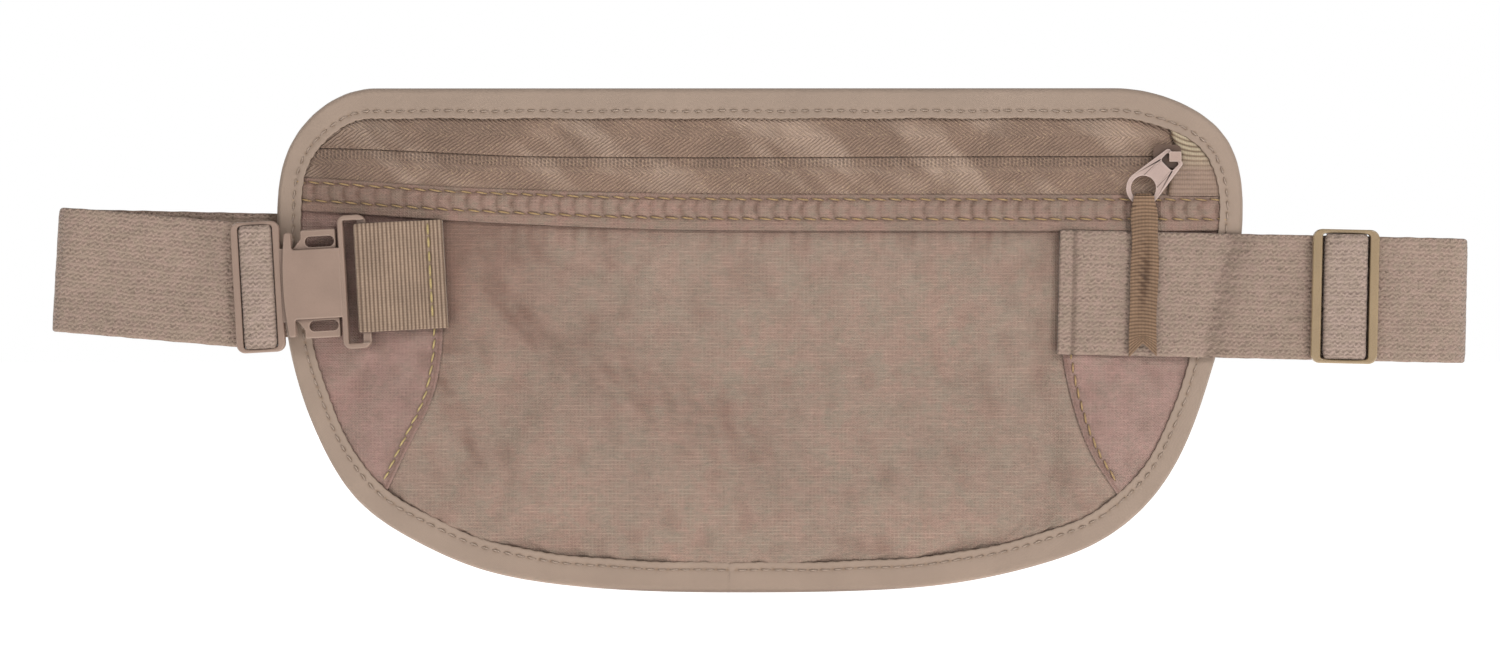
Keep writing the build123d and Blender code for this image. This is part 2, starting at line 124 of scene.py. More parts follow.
EDGE_LIFT = 1.15                                     # the binding's lip over the cloth it holds
PINCH = 28.0                                         # and reaches its full depth this far inside it
# Soft creases of the front cloth: start, end, half width and height.
CREASES = (
    ((-92, 26), (-62, -14), 3.2, 0.8),
    ((-84, 31), (-40, 12), 3.6, 0.7),
    ((-99, 0), (-76, -46), 3.4, 0.8),
    ((-70, -20), (-20, -46), 6.0, 0.8),
    ((-35, 22), (10, -22), 9.0, -0.8),
    ((20, -52), (88, -28), 5.0, 0.7),
    ((48, 26), (84, 2), 5.0, 0.6),
    ((30, -10), (70, -34), 7.0, -0.6),
)
# furrows of the front cloth that lie in shade: start, end, reach to each side, strength
FURROWS = (
    ((-86, 22), (-62, -4), 4.5, 0.9),
    ((-104, 34), (-58, 22), 6.0, 0.6),
    ((-100, -2), (-80, -46), 2.6, 0.8),
    ((-72, 6), (18, -42), 10.0, 0.65),
    ((-50, 36), (-43, 20), 2.2, 0.8),
    ((-8, 30), (-3, 10), 4.0, 0.5),
    ((64, -4), (71, -26), 3.0, 0.6),
    ((88, 6), (82, -20), 3.4, 0.6),
    ((88, -34), (100, -56), 4.0, 0.6),
    ((18, -58), (44, -66), 3.0, 0.6),
    ((92, 40), (80, 12), 4.0, 0.5),
)


# ---------------------------------------------------------------- maths
def smoothstep(t):
    t = np.clip(t, 0, 1)
    return t * t * (3 - 2 * t)


def ripple(x, z, seed, scale):
    """Smooth, repeatable unevenness between about -1 and 1, from a few crossed waves."""
    rng = np.random.default_rng(seed)
    total = np.zeros(np.broadcast(x, z).shape)
    for octave in range(7):
        angle = rng.uniform(0, math.pi)
        wave = scale * rng.uniform(0.6, 1.7)
        phase = rng.uniform(0, 2 * math.pi)
        total = total + np.sin((x * math.cos(angle) + z * math.sin(angle)) * 2 * math.pi / wave + phase)
    return total / 4.2


def edge_distance(x, z):
    """Distance from the pouch's outline."""
    flat = np.stack([np.ravel(x), np.ravel(z)], axis=1)
    nearest = np.empty(len(flat))
    ring = OUTLINE[::2]
    for start in range(0, len(flat), 4000):
        part = flat[start:start + 4000]
        gap = np.linalg.norm(part[:, None, :] - ring[None, :, :], axis=2)
        nearest[start:start + 4000] = gap.min(axis=1)
    return nearest.reshape(np.shape(x))


def depth_at(distance):
    """How far the front layer stands out of the back, at a distance from the edge."""
    return EDGE_DEPTH + (PANEL_Y - 0.35 - EDGE_DEPTH) * smoothstep(distance / PINCH)


def front_y(x, z):
    """Y of the relaxed front cloth, negative to the front, with its soft folds."""
    distance = edge_distance(x, z)
    calm = smoothstep(distance / 22) * (1 - 0.85 * np.exp(-((z - 55) / 9) ** 2))
    folds = 0.42 * ripple(x, z, 3, 74) + 0.16 * ripple(x, z, 8, 26)
    for start, end, reach, lift in CREASES:
        folds = folds + lift * crease(x, z, start, end, reach)
    return -(depth_at(distance) + calm * folds)


def strap_z(x):
    """Height of the strap's centre line."""
    anchor_x, anchor_z = RIGHT_FOLD, (box("strap_belt_run")[0][2] + box("strap_belt_run")[1][2]) / 2
    mid_x = (box("strap_belt_run")[0][0] + RIGHT_FOLD) / 2
    return anchor_z - (np.asarray(x, float) - mid_x) * math.tan(STRAP_TILT)


def crease(x, z, start, end, reach):
    """A soft ridge from start to end, tapering at both ends."""
    run = np.array(end, float) - start
    length = np.linalg.norm(run)
    along = ((x - start[0]) * run[0] + (z - start[1]) * run[1]) / length
    aside = ((x - start[0]) * run[1] - (z - start[1]) * run[0]) / length
    taper = smoothstep(along / (0.3 * length)) * smoothstep((length - along) / (0.3 * length))
    return taper * np.exp(-(aside / reach) ** 2)


def outline_x(z, inset, side):
    """X of the pouch's outline at a height, on side -1 or 1, moved in by inset."""
    ring = OUTLINE + INWARD * inset
    part = ring[ring[:, 0] * side > 0]
    part = part[np.abs(INWARD[OUTLINE[:, 0] * side > 0][:, 0]) > 0.02]
    order = np.argsort(part[:, 1])
    return np.interp(z, part[order, 1], part[order, 0])


# ---------------------------------------------------------------- mesh making
def make_object(name, verts, faces, body, replaces=(), uv=None, painted_shade=None, material=None):
    """One piece: uv is the distance along and across it, painted_shade how much painted shade a point takes, 0 to 1.
    """
    mesh = bpy.data.meshes.new(name)
    mesh.from_pydata((np.asarray(verts, float) * MM).tolist(), [], faces)
    if uv is not None:
        layer = mesh.uv_layers.new(name="along")
        corners = np.empty(len(mesh.loops), np.int32)
        mesh.loops.foreach_get("vertex_index", corners)
        layer.data.foreach_set("uv", np.asarray(uv, np.float32)[corners].ravel())
    if painted_shade is not None:
        values = mesh.attributes.new("painted_shade", "FLOAT", "POINT")
        values.data.foreach_set("value", np.asarray(painted_shade, np.float32).ravel())
    mesh.polygons.foreach_set("use_smooth", [True] * len(mesh.polygons))
    mesh.update()
    obj = bpy.data.objects.new(name, mesh)
    bpy.context.scene.collection.objects.link(obj)
    if material:
        mesh.materials.append(material)
    if body:
        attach(obj, body)
    if replaces:
        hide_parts(*replaces)
    return obj


def grid_quads(n, m, wrap_n=False, wrap_m=False, start=0, flip=False):
    faces = []
    for i in range(n if wrap_n else n - 1):
        for j in range(m if wrap_m else m - 1):
            a, b = start + i * m + j, start + i * m + (j + 1) % m
            c, d = start + ((i + 1) % n) * m + (j + 1) % m, start + ((i + 1) % n) * m + j
            faces.append((a, d, c, b) if flip else (a, b, c, d))
    return faces


def cloth_sheet(name, front, thickness, body, uv=None, painted_shade=None, **more):
    """A closed thin solid: a grid of front points (rows up, columns to the right) and its back, a thickness behind."""
    n, m = front.shape[:2]
    back = front + np.array([0, thickness, 0])
    verts = np.concatenate([front.reshape(-1, 3), back.reshape(-1, 3)])
    faces = grid_quads(n, m) + grid_quads(n, m, start=n * m, flip=True)
    rim = [(0, j) for j in range(m)] + [(i, m - 1) for i in range(1, n)]
    rim += [(n - 1, j) for j in range(m - 2, -1, -1)] + [(i, 0) for i in range(n - 2, 0, -1)]
    for k, (i, j) in enumerate(rim):
        p, q = i * m + j, rim[(k + 1) % len(rim)][0] * m + rim[(k + 1) % len(rim)][1]
        faces.append((p, p + n * m, q + n * m, q))
    if uv is None:
        uv = front[:, :, [0, 2]]
    uv = np.concatenate([uv.reshape(-1, 2)] * 2)
    if painted_shade is not None:
        painted_shade = np.concatenate([painted_shade.ravel(), painted_shade.ravel()])
    return make_object(name, verts, faces, body, uv=uv, painted_shade=painted_shade, **more)


def rows(left, right, heights, columns, ease=None):
    """A grid in X and Z whose rows run from left(z) to right(z)."""
    across = np.linspace(0, 1, columns)
    z = np.repeat(np.asarray(heights, float)[:, None], columns, axis=1)
    start, end = left(z[:, :1]), right(z[:, :1])
    return start + (end - start) * across[None, :], z


def strip(name, path, across, width, thickness, body, relief=None, steps=18, inner_steps=None, closed=False, **more):
    """A tape that follows a path: across is its width direction at every path point, and width may vary.

    relief gives, for a distance along and across, how far the surface stands out and how much painted shade it takes.
    """
    path, across = np.asarray(path, float), np.asarray(across, float)
    if closed:
        tangent = np.roll(path, -1, axis=0) - np.roll(path, 1, axis=0)
    else:
        tangent = np.gradient(path, axis=0)
    tangent /= np.linalg.norm(tangent, axis=1)[:, None]
    normal = np.cross(tangent, across)
    normal /= np.linalg.norm(normal, axis=1)[:, None]
    along = np.concatenate([[0], np.cumsum(np.linalg.norm(np.diff(path, axis=0), axis=1))])
    width = np.broadcast_to(np.asarray(width, float), len(path))
    half, r = width.max() / 2, thickness / 2
    outer = np.linspace(-(half - r), half - r, steps)
    inner = np.linspace(half - r, -(half - r), inner_steps or steps)
    turn = np.linspace(math.pi / 2, -math.pi / 2, 6)[1:-1]
    v = np.concatenate([outer, half - r + r * np.cos(turn), inner, -(half - r) - r * np.cos(turn)])
    h = np.concatenate([np.full(steps, r), r * np.sin(turn), np.full(len(inner), -r), -r * np.sin(turn)])
    s_grid, v_grid = np.meshgrid(along, v, indexing="ij")
    h_grid = np.repeat(h[None, :], len(path), axis=0)
    painted_shade = np.zeros_like(h_grid)
    if relief is not None:
        lift, painted_shade = relief(s_grid, v_grid)
        h_grid = h_grid + np.sign(h_grid) * lift * (np.abs(h_grid) > 0.8 * r)
    stretch = (width / width.max())[:, None]
    verts = path[:, None, :] + across[:, None, :] * (v_grid * stretch)[:, :, None]
    verts = verts + normal[:, None, :] * h_grid[:, :, None]
    n, m = len(path), len(v)
    faces = grid_quads(n, m, wrap_n=closed, wrap_m=True)
    if not closed:
        faces.append(tuple(range(m))[::-1])
        faces.append(tuple(range((n - 1) * m, n * m)))
    uv = np.stack([s_grid.ravel(), v_grid.ravel()], axis=1)
    return make_object(name, verts.reshape(-1, 3), faces, body, uv=uv, painted_shade=painted_shade, **more)


def stitches(name, path, body, pitch, length, radius, lift, material, facing=(0, -1, 0), slant=0.0):
    """A row of thread: one arched capsule per stitch along a path, its ends sunk in their needle holes and painted
    dark there as shade.
    """
    path = np.asarray(path, float)
    along = np.concatenate([[0], np.cumsum(np.linalg.norm(np.diff(path, axis=0), axis=1))])
    facing = np.asarray(facing, float)
    rng = np.random.default_rng(len(name))
    rings, sides = 9, 6
    arch = np.sin(np.linspace(0, math.pi, rings))
    verts, faces, painted_shade = [], [], []
    for k in range(int(along[-1] // pitch)):
        middle = (k + 0.5 + rng.uniform(-0.04, 0.04)) * pitch
        where = middle + np.linspace(-0.5, 0.5, rings) * length * rng.uniform(0.92, 1.08)
        line = np.stack([np.interp(where, along, path[:, a]) for a in range(3)], axis=1)
        direction = line[-1] - line[0]
        direction /= np.linalg.norm(direction)
        side = np.cross(direction, facing)
        line = line + facing * ((arch * 1.3 - 0.5) * lift)[:, None]
        line = line + side * (np.linspace(-0.5, 0.5, rings) * slant)[:, None]
        start = len(verts)
        for i in range(rings):
            r = radius * (0.35 + 0.65 * arch[i] ** 0.5)
            for j in range(sides):
                a = 2 * math.pi * j / sides
                verts.append(line[i] + side * (r * math.cos(a)) + facing * (r * math.sin(a)))
                painted_shade.append((1 - arch[i]) ** 2)
        faces += grid_quads(rings, sides, wrap_m=True, start=start)
        faces.append(tuple(range(start, start + sides))[::-1])
        faces.append(tuple(range(start + (rings - 1) * sides, start + rings * sides)))
    return make_object(name, verts, faces, body, painted_shade=painted_shade, material=material)


# ---------------------------------------------------------------- materials
def rgb(red, green, blue):
    """A colour from its usual 0 to 255 screen values, as the linear values Blender wants."""
    out = [c / 255 / 12.92 if c / 255 <= 0.04045 else ((c / 255 + 0.055) / 1.055) ** 2.4 for c in (red, green, blue)]
    return (*out, 1.0)


class Shade:
    """A small helper that writes a node material."""

    def __init__(self, name, rough=0.8, sheen=0.0):
        self.material = bpy.data.materials.new(name)
        self.material.use_nodes = True
        self.tree = self.material.node_tree
        self.shader = self.tree.nodes["Principled BSDF"]
        self.put(self.shader.inputs["Roughness"], rough)
        self.put(self.shader.inputs["Sheen Weight"], sheen)
        self.put(self.shader.inputs["Sheen Roughness"], 0.4)

    def new(self, kind):
        return self.tree.nodes.new(kind)

    def put(self, socket, value):
        if isinstance(value, bpy.types.NodeSocket):
            self.tree.links.new(value, socket)
        else:
            socket.default_value = value

    def math(self, operation, a, b=0.0, c=0.0, clamp=False):
        node = self.new("ShaderNodeMath")
        node.operation = operation
        node.use_clamp = clamp
        for socket, value in zip(node.inputs, (a, b, c)):
            self.put(socket, value)
        return node.outputs[0]

    def place(self):
        """X, Y and Z in millimetres, fixed to the piece."""
        source = self.new("ShaderNodeTexCoord").outputs["Object"]
        scale = self.new("ShaderNodeVectorMath")
        scale.operation = "SCALE"
        self.put(scale.inputs[0], source)
        scale.inputs["Scale"].default_value = 1 / MM
        split = self.new("ShaderNodeSeparateXYZ")
        self.put(split.inputs[0], scale.outputs[0])
        return scale.outputs[0], split.outputs[0], split.outputs[1], split.outputs[2]

    def along(self):
        """Distance along and across a tape, in millimetres."""
        node = self.new("ShaderNodeUVMap")
        node.uv_map = "along"
        split = self.new("ShaderNodeSeparateXYZ")
        self.put(split.inputs[0], node.outputs[0])
        return node.outputs[0], split.outputs[0], split.outputs[1]

    def noise(self, vector, scale, detail=2.0, rough=0.5, stretch=None):
        if stretch:
            node = self.new("ShaderNodeMapping")
            node.inputs["Scale"].default_value = stretch
            self.put(node.inputs["Vector"], vector)
            vector = node.outputs[0]
        node = self.new("ShaderNodeTexNoise")
        self.put(node.inputs["Vector"], vector)
        node.inputs["Scale"].default_value = scale
        node.inputs["Detail"].default_value = detail
        node.inputs["Roughness"].default_value = rough
        return node.outputs[0]

    def wave(self, value, pitch, phase=0.0):
        """A sine of the value with a pitch in millimetres, between -1 and 1."""
        return self.math("SINE", self.math("MULTIPLY_ADD", value, 2 * math.pi / pitch, phase))

    def spread(self, value, low, high, to_low=0.0, to_high=1.0):
        node = self.new("ShaderNodeMapRange")
        self.put(node.inputs["Value"], value)
        for key, number in (("From Min", low), ("From Max", high), ("To Min", to_low), ("To Max", to_high)):
            node.inputs[key].default_value = number
        return node.outputs[0]

    def mix(self, factor, a, b, blend="MIX"):
        node = self.new("ShaderNodeMix")
        node.data_type = "RGBA"
        node.blend_type = blend
        self.put(node.inputs[0], factor)
        self.put(node.inputs[6], a)
        self.put(node.inputs[7], b)
        return node.outputs[2]

    def painted_shade(self):
        """How much painted shade the point takes, 0 to 1, from the mesh."""
        node = self.new("ShaderNodeAttribute")
        node.attribute_name = "painted_shade"
        return node.outputs["Fac"]

    def shaded(self, colour, factor):
        """The colour made lighter or darker by a factor near one."""
        grey = self.new("ShaderNodeCombineXYZ")
        for socket in grey.inputs:
            self.put(socket, factor)
        return self.mix(1.0, colour, grey.outputs[0], "MULTIPLY")

    def finish(self, colour, height=None, relief=0.1, rough=None, corner_shade=0.5, reach=2.5):
        """Set the colour, with painted shade in corners and where pieces meet, and a bump whose height is relief
        millimetres.
        """
        # Painted shade: ambient occlusion darkens the colour in corners and where pieces meet.
        if corner_shade:
            corner = self.new("ShaderNodeAmbientOcclusion")
            corner.samples = 6
            corner.inputs["Distance"].default_value = reach * MM
            painted_corner_shade = self.spread(corner.outputs["AO"], 0.3, 0.85, corner_shade, 0.0)
            colour = self.mix(painted_corner_shade, colour, CORNER_SHADE)
        self.put(self.shader.inputs["Base Color"], colour)
        if rough is not None:
            self.put(self.shader.inputs["Roughness"], rough)
        if height is not None:
            bump = self.new("ShaderNodeBump")
            bump.inputs["Distance"].default_value = relief * MM
            self.put(bump.inputs["Height"], height)
            self.put(self.shader.inputs["Normal"], bump.outputs[0])
        return self.material


# Colour of the painted shade in corners, in needle holes and where pieces meet.
CORNER_SHADE = rgb(62, 44, 34)


def ripstop(name, base, warm, cool, shade, level=1.0, upright=0.5):
    """Thin woven cloth with a fine square grid of thicker yarns, its yarns mottled warm and cool, and the mesh's
    painted shade mixed in towards the shade colour.
    """
    s = Shade(name, sheen=0.2)
    where, x, y, z = s.place()
    across = s.math("POWER", s.math("MAXIMUM", s.wave(z, RIPSTOP_PITCH), 0.0), 4.0)
    down = s.math("POWER", s.math("MAXIMUM", s.wave(x, RIPSTOP_PITCH * 1.07), 0.0), 4.0)
    weave = s.math("MULTIPLY", s.wave(x, 0.85), s.wave(z, 0.8))
    patch = s.noise(where, 0.03, 3.0, 0.6)
    dapple = s.noise(where, 0.16, 4.0, 0.75)
    yarn = s.noise(where, 1.1, 3.0, 0.75, stretch=(0.4, 1.0, 1.6))
    slub = s.noise(where, 1.0, 3.0, 0.65, stretch=(0.12, 1.0, 0.9))
    slub_down = s.noise(where, 1.0, 2.0, 0.6, stretch=(0.9, 1.0, 0.14))
    tint = s.mix(s.spread(dapple, 0.40, 0.60), cool, warm)
    tint = s.mix(s.spread(yarn, 0.42, 0.60, 0.0, 0.35), tint, warm)
    colour = s.mix(s.spread(patch, 0.35, 0.65, 0.45, 0.8), base, tint)
    square = s.math("MULTIPLY", s.spread(s.wave(x, RIPSTOP_PITCH * 1.07), 0.4, -0.8), s.spread(s.wave(z, RIPSTOP_PITCH), 0.5, -0.8))
    square = s.math("MULTIPLY", square, s.spread(s.noise(where, 0.35, 3.0, 0.7), 0.42, 0.62))
    colour = s.mix(s.math("MULTIPLY", square, 0.45), colour, shade)
    # The mesh's painted shade, darkening the cloth towards its shade colour.
    colour = s.mix(s.math("MULTIPLY", s.painted_shade(), 0.8), colour, shade)
    lines = s.math("MULTIPLY", across, s.spread(slub, 0.44, 0.60, 0.05, 1.0))
    columns = s.math("MULTIPLY", down, s.spread(slub_down, 0.44, 0.60, 0.05, 1.0))
    light = s.math("MULTIPLY_ADD", lines, 0.34 * level, 0.93)
    light = s.math("MULTIPLY_ADD", columns, 0.12 * upright, light)
    light = s.math("ADD", light, s.spread(yarn, 0.3, 0.7, -0.13, 0.15))
    light = s.math("ADD", light, s.spread(patch, 0.3, 0.7, -0.05, 0.05))
    light = s.math("MULTIPLY_ADD", weave, 0.07, light)
    height = s.math("ADD", s.math("MULTIPLY", across, 0.7), s.math("MULTIPLY", down, 0.6))
    height = s.math("MULTIPLY_ADD", weave, 0.4, height)
    height = s.math("MULTIPLY_ADD", yarn, 0.8, height)
    return s.finish(s.shaded(colour, light), height, 0.12, s.spread(yarn, 0.3, 0.7, 0.5, 0.7), 0.55, 4.0)


def knit_tape(name, base, edge):
    """Smooth fine knit, almost plain, for the binding; its turned inner edge is painted a golden brown line, partly
    the tape's own edge colour and partly painted shade, and its stitch dimples are painted darker as shade.
    """
    s = Shade(name, sheen=0.25)
    where, x, y, z = s.place()
    uv, along, across = s.along()
    loops = s.math("MULTIPLY", s.wave(along, 0.7), s.wave(across, 0.55))
    cloudy = s.noise(where, 0.06, 3.0, 0.55)
    fine = s.noise(where, 2.2, 2.0, 0.6)
    light = s.math("ADD", s.spread(cloudy, 0.3, 0.7, 0.95, 1.05), s.spread(fine, 0.3, 0.7, -0.035, 0.035))
    light = s.math("MULTIPLY_ADD", loops, 0.02, light)
    height = s.math("MULTIPLY_ADD", loops, 0.5, fine)
    # Painted shade: the lip's edges golden brown, partly the tape's own edge colour, and the stitch dimples darker.
    colour = s.mix(s.math("MULTIPLY", s.painted_shade(), 0.8), base, edge)
    return s.finish(s.shaded(colour, light), height, 0.035, s.spread(fine, 0.3, 0.7, 0.65, 0.85))


def twill_tape(name, base, sheen_colour, glint_colour):
    """Zip tape: a herringbone twill with painted sheen patches and painted glints, a ribbed row beside the slit, and
    painted shade towards its left end.
    """
    s = Shade(name, sheen=0.2)
    where, x, y, z = s.place()
    uv, along, from_slit = s.along()
    column = s.math("PINGPONG", s.math("ADD", from_slit, 60.0), 5.5)
    warp = s.noise(where, 0.3, 2.0, 0.5)
    diagonal = s.math("MULTIPLY_ADD", column, 1.0, s.math("MULTIPLY_ADD", warp, 1.5, s.math("MULTIPLY", x, 0.75)))
    twill = s.wave(diagonal, 1.15)
    fade = s.spread(s.noise(where, 0.15, 2.0, 0.5), 0.35, 0.6, 0.35, 1.0)
    leaning = s.math("MULTIPLY_ADD", z, 0.9, x)
    patches = s.new("ShaderNodeCombineXYZ")
    s.put(patches.inputs[0], leaning)
    s.put(patches.inputs[1], s.math("MULTIPLY", z, 0.7))
    sheen_patch = s.noise(patches.outputs[0], 0.033, 3.0, 0.62)
    uneven_dye = s.noise(where, 0.09, 3.0, 0.6)
    speck = s.noise(where, 1.5, 3.0, 0.7)
    glint = s.noise(where, 2.4, 2.0, 0.7)
    # Painted sheen: lighter patches, and small painted glints.
    colour = s.mix(s.spread(sheen_patch, 0.47, 0.60), base, sheen_colour)
    colour = s.mix(s.spread(glint, 0.58, 0.70, 0.0, 0.75), colour, glint_colour)
    beside = s.math("MULTIPLY", s.math("LESS_THAN", from_slit, -0.3), s.math("GREATER_THAN", from_slit, -2.9))
    rib = s.math("MULTIPLY", s.wave(x, 1.15), beside)
    # Painted sheen: broad lighter and darker patches.
    glow = s.spread(s.noise(where, 0.025, 2.0, 0.5), 0.35, 0.65, 0.95, 1.06)
    light = s.math("MULTIPLY_ADD", s.math("MULTIPLY", twill, fade), 0.17, 0.97)
    light = s.math("MULTIPLY_ADD", rib, 0.2, light)
    light = s.math("MULTIPLY", s.math("MULTIPLY_ADD", beside, -0.08, light), glow)
    light = s.math("ADD", light, s.spread(speck, 0.3, 0.7, -0.14, 0.14))
    light = s.math("ADD", light, s.spread(uneven_dye, 0.3, 0.7, -0.12, 0.10))
    # Painted shade: darker towards the tape's left end.
    light = s.math("MULTIPLY", light, s.spread(x, -135.0, -60.0, 0.88, 1.03))
    height = s.math("MULTIPLY_ADD", speck, 0.7, s.math("MULTIPLY_ADD", rib, 1.0, twill))
    return s.finish(s.shaded(colour, light), height, 0.12, s.spread(sheen_patch, 0.47, 0.6, 0.66, 0.5), 0.5, 2.0)


def elastic(name, base, dark, pale, strength=0.5):
    """Knitted elastic: short flat loops in rows, each row set half a loop along, with painted shade in the gaps
    between them and the mesh's painted shade.
    """
    s = Shade(name, sheen=0.2)
    where, x, y, z = s.place()
    uv, along, across = s.along()
    bend = s.noise(where, 0.22, 2.0, 0.5)
    jitter = s.noise(where, 0.9, 2.0, 0.6)
    a = s.math("MULTIPLY_ADD", bend, 3.0, s.math("MULTIPLY_ADD", jitter, 2.0, along))
    b = s.math("MULTIPLY_ADD", bend, 1.4, s.math("MULTIPLY_ADD", jitter, 0.9, across))
    loops = s.math("MULTIPLY", s.wave(a, 1.9), s.wave(b, 2.5))
    chain = s.wave(s.math("MULTIPLY_ADD", s.wave(a, 1.9), 0.22, b), 1.25)
    value = s.math("MULTIPLY_ADD", loops, 0.45, s.math("MULTIPLY", chain, 0.7))
    fade = s.spread(s.noise(where, 0.3, 3.0, 0.7), 0.38, 0.62, 0.1, 1.0)
    # Painted shade in the gaps between the loops.
    gap = s.math("MULTIPLY", s.spread(value, 0.0, -1.0), fade)
    patch = s.noise(where, 0.08, 3.0, 0.6)
    dapple = s.noise(where, 0.45, 2.0, 0.6)
    fine = s.noise(where, 1.9, 3.0, 0.7)
    light = s.math("ADD", s.spread(patch, 0.3, 0.7, 0.94, 1.05), s.spread(fine, 0.3, 0.7, -0.11, 0.11))
    light = s.math("MULTIPLY_ADD", value, 0.07, light)
    colour = s.mix(s.spread(dapple, 0.4, 0.62, 0.0, 0.8), base, pale)
    colour = s.mix(s.math("MULTIPLY", gap, strength), colour, dark)
    # The mesh's painted shade.
    colour = s.mix(s.math("MULTIPLY", s.painted_shade(), 0.7), colour, dark)
    height = s.math("MULTIPLY_ADD", fine, 0.6, s.math("MULTIPLY", value, 0.8))
    return s.finish(s.shaded(colour, light), height, 0.18, s.spread(fine, 0.3, 0.7, 0.75, 0.9), 0.4, 1.6)


def ribbed(name, base, dark, fade=0.5, weft=0.8, low=None, turn=(0.0, 1.0)):
    """Ribbed tape: the ribs are in the mesh, and the material paints shade into the grooves and adds the fine weft."""
    s = Shade(name, sheen=0.25)
    where, x, y, z = s.place()
    uv, along, across = s.along()
    notch = s.math("POWER", s.math("MAXIMUM", s.wave(across, weft), 0.0), 2.0)
    fine = s.noise(where, 1.6, 3.0, 0.7)
    patch = s.noise(where, 0.14, 2.0, 0.5)
    light = s.math("ADD", s.spread(patch, 0.3, 0.7, 0.92, 1.08), s.spread(fine, 0.3, 0.7, -0.13, 0.13))
    light = s.math("MULTIPLY_ADD", notch, -0.13, light)
    if low:
        base = s.mix(s.spread(z, *turn), low, base)
    # Painted shade in the grooves, and along edges where the mesh asks for it.
    colour = s.mix(s.math("MULTIPLY", s.painted_shade(), fade), base, dark)
    height = s.math("MULTIPLY_ADD", notch, -0.7, fine)
    return s.finish(s.shaded(colour, light), height, 0.09, s.spread(fine, 0.3, 0.7, 0.65, 0.85))


def plastic(name, base, edge_highlight, rough, coat=0.0, behind=None, front=0.0):
    """Moulded or painted: very fine grain, a painted highlight along its rounded edges, painted shade where it lies
    behind front.
    """
    s = Shade(name, rough)
    where, x, y, z = s.place()
    grain = s.noise(where, 3.2, 3.0, 0.6)
    cloudy = s.noise(where, 0.12, 2.0, 0.5)
    # Painted highlight: edges that the Bevel node rounds are made lighter.
    rounded = s.new("ShaderNodeBevel")
    rounded.samples = 4
    rounded.inputs["Radius"].default_value = 0.7 * MM
    geometry = s.new("ShaderNodeNewGeometry")
    agree = s.new("ShaderNodeVectorMath")
    agree.operation = "DOT_PRODUCT"
    s.put(agree.inputs[0], rounded.outputs[0])
    s.put(agree.inputs[1], geometry.outputs["Normal"])
    edge = s.spread(agree.outputs["Value"], 0.99, 0.84)
    light = s.math("ADD", s.spread(cloudy, 0.3, 0.7, 0.95, 1.05), s.spread(grain, 0.3, 0.7, -0.05, 0.05))
    colour = s.mix(s.math("MULTIPLY", edge, 0.85), base, edge_highlight)
    # Painted shade on the parts that lie behind the front plate.
    if behind:
        colour = s.mix(s.spread(y, front, front + 0.3), colour, behind)
    s.put(s.shader.inputs["Coat Weight"], coat)
    s.put(s.shader.inputs["Coat Roughness"], 0.25)
    height = s.math("MULTIPLY_ADD", cloudy, 2.0, grain)
    return s.finish(s.shaded(colour, light), height, 0.02, s.spread(grain, 0.3, 0.7, rough - 0.06, rough + 0.06), 0.75, 2.2)


def thread(name, base, dark):
    """Twisted sewing thread, with painted shade where it enters the cloth."""
    s = Shade(name, 0.55, 0.3)
    where, x, y, z = s.place()
    twist = s.wave(s.math("ADD", x, z), 0.5)
    fine = s.noise(where, 1.1, 2.0, 0.6)
    colour = s.mix(s.spread(twist, -1, 1, 0.0, 0.35), base, dark)
    # Painted shade in the needle holes.
    colour = s.mix(s.painted_shade(), colour, s.mix(0.5, dark, CORNER_SHADE))
    return s.finish(s.shaded(colour, s.spread(fine, 0.3, 0.7, 0.82, 1.15)), twist, 0.05, corner_shade=0.2)


RIPSTOP_PITCH = 1.1
FRONT_CLOTH = ripstop(
    "front_cloth", rgb(158, 137, 121), rgb(166, 134, 119), rgb(151, 136, 119), rgb(124, 92, 78), upright=1.0,
)
WING_CLOTH = ripstop(
    "wing_cloth", rgb(163, 133, 122), rgb(172, 135, 125), rgb(154, 132, 118), rgb(128, 96, 84), 0.5, 1.0,
)
BAND_CLOTH = ripstop("band_cloth", rgb(154, 129, 114), rgb(164, 128, 114), rgb(148, 130, 112), rgb(104, 74, 58), 0.6)
BACK_CLOTH = knit_tape("back_cloth", rgb(164, 143, 128), rgb(120, 98, 80))
BINDING = knit_tape("binding_tape", rgb(163, 142, 126), rgb(120, 92, 58))
# The zip tape's second colour is its painted sheen, the third its painted glints.
ZIP_TAPE = twill_tape("zip_tape", rgb(142, 115, 98), rgb(168, 142, 124), rgb(200, 172, 136))
ELASTIC = elastic("elastic", rgb(160, 139, 123), rgb(96, 77, 64), rgb(168, 142, 129))
WEBBING = ribbed("webbing", rgb(172, 147, 126), rgb(94, 70, 52), 0.85)
GARAGE = ribbed(
    "garage_webbing", rgb(194, 176, 148), rgb(112, 88, 66), 0.9, 0.7, low=rgb(156, 131, 115), turn=(51.0, 57.0),
)
RIBBON = ribbed("pull_ribbon", rgb(148, 118, 92), rgb(72, 47, 30), 0.85, 1.0)
# The second colour of each plastic is its painted edge highlight.
BUCKLE = plastic("buckle_plastic", rgb(154, 129, 114), rgb(186, 162, 146), 0.46)
ADJUSTER = plastic("adjuster_plastic", rgb(156, 132, 100), rgb(200, 178, 136), 0.3, 0.4)
PULL_METAL = plastic("pull_metal", rgb(188, 163, 153), rgb(226, 206, 196), 0.34, 0.3)
COIL = plastic("zip_coil", rgb(122, 98, 82), rgb(150, 126, 108), 0.4)
GOLD_THREAD = thread("gold_thread", rgb(212, 188, 128), rgb(150, 120, 74))
BAND_THREAD = thread("band_thread", rgb(194, 160, 110), rgb(128, 94, 60))
SELF_THREAD = thread("self_thread", rgb(194, 172, 154), rgb(118, 94, 76))


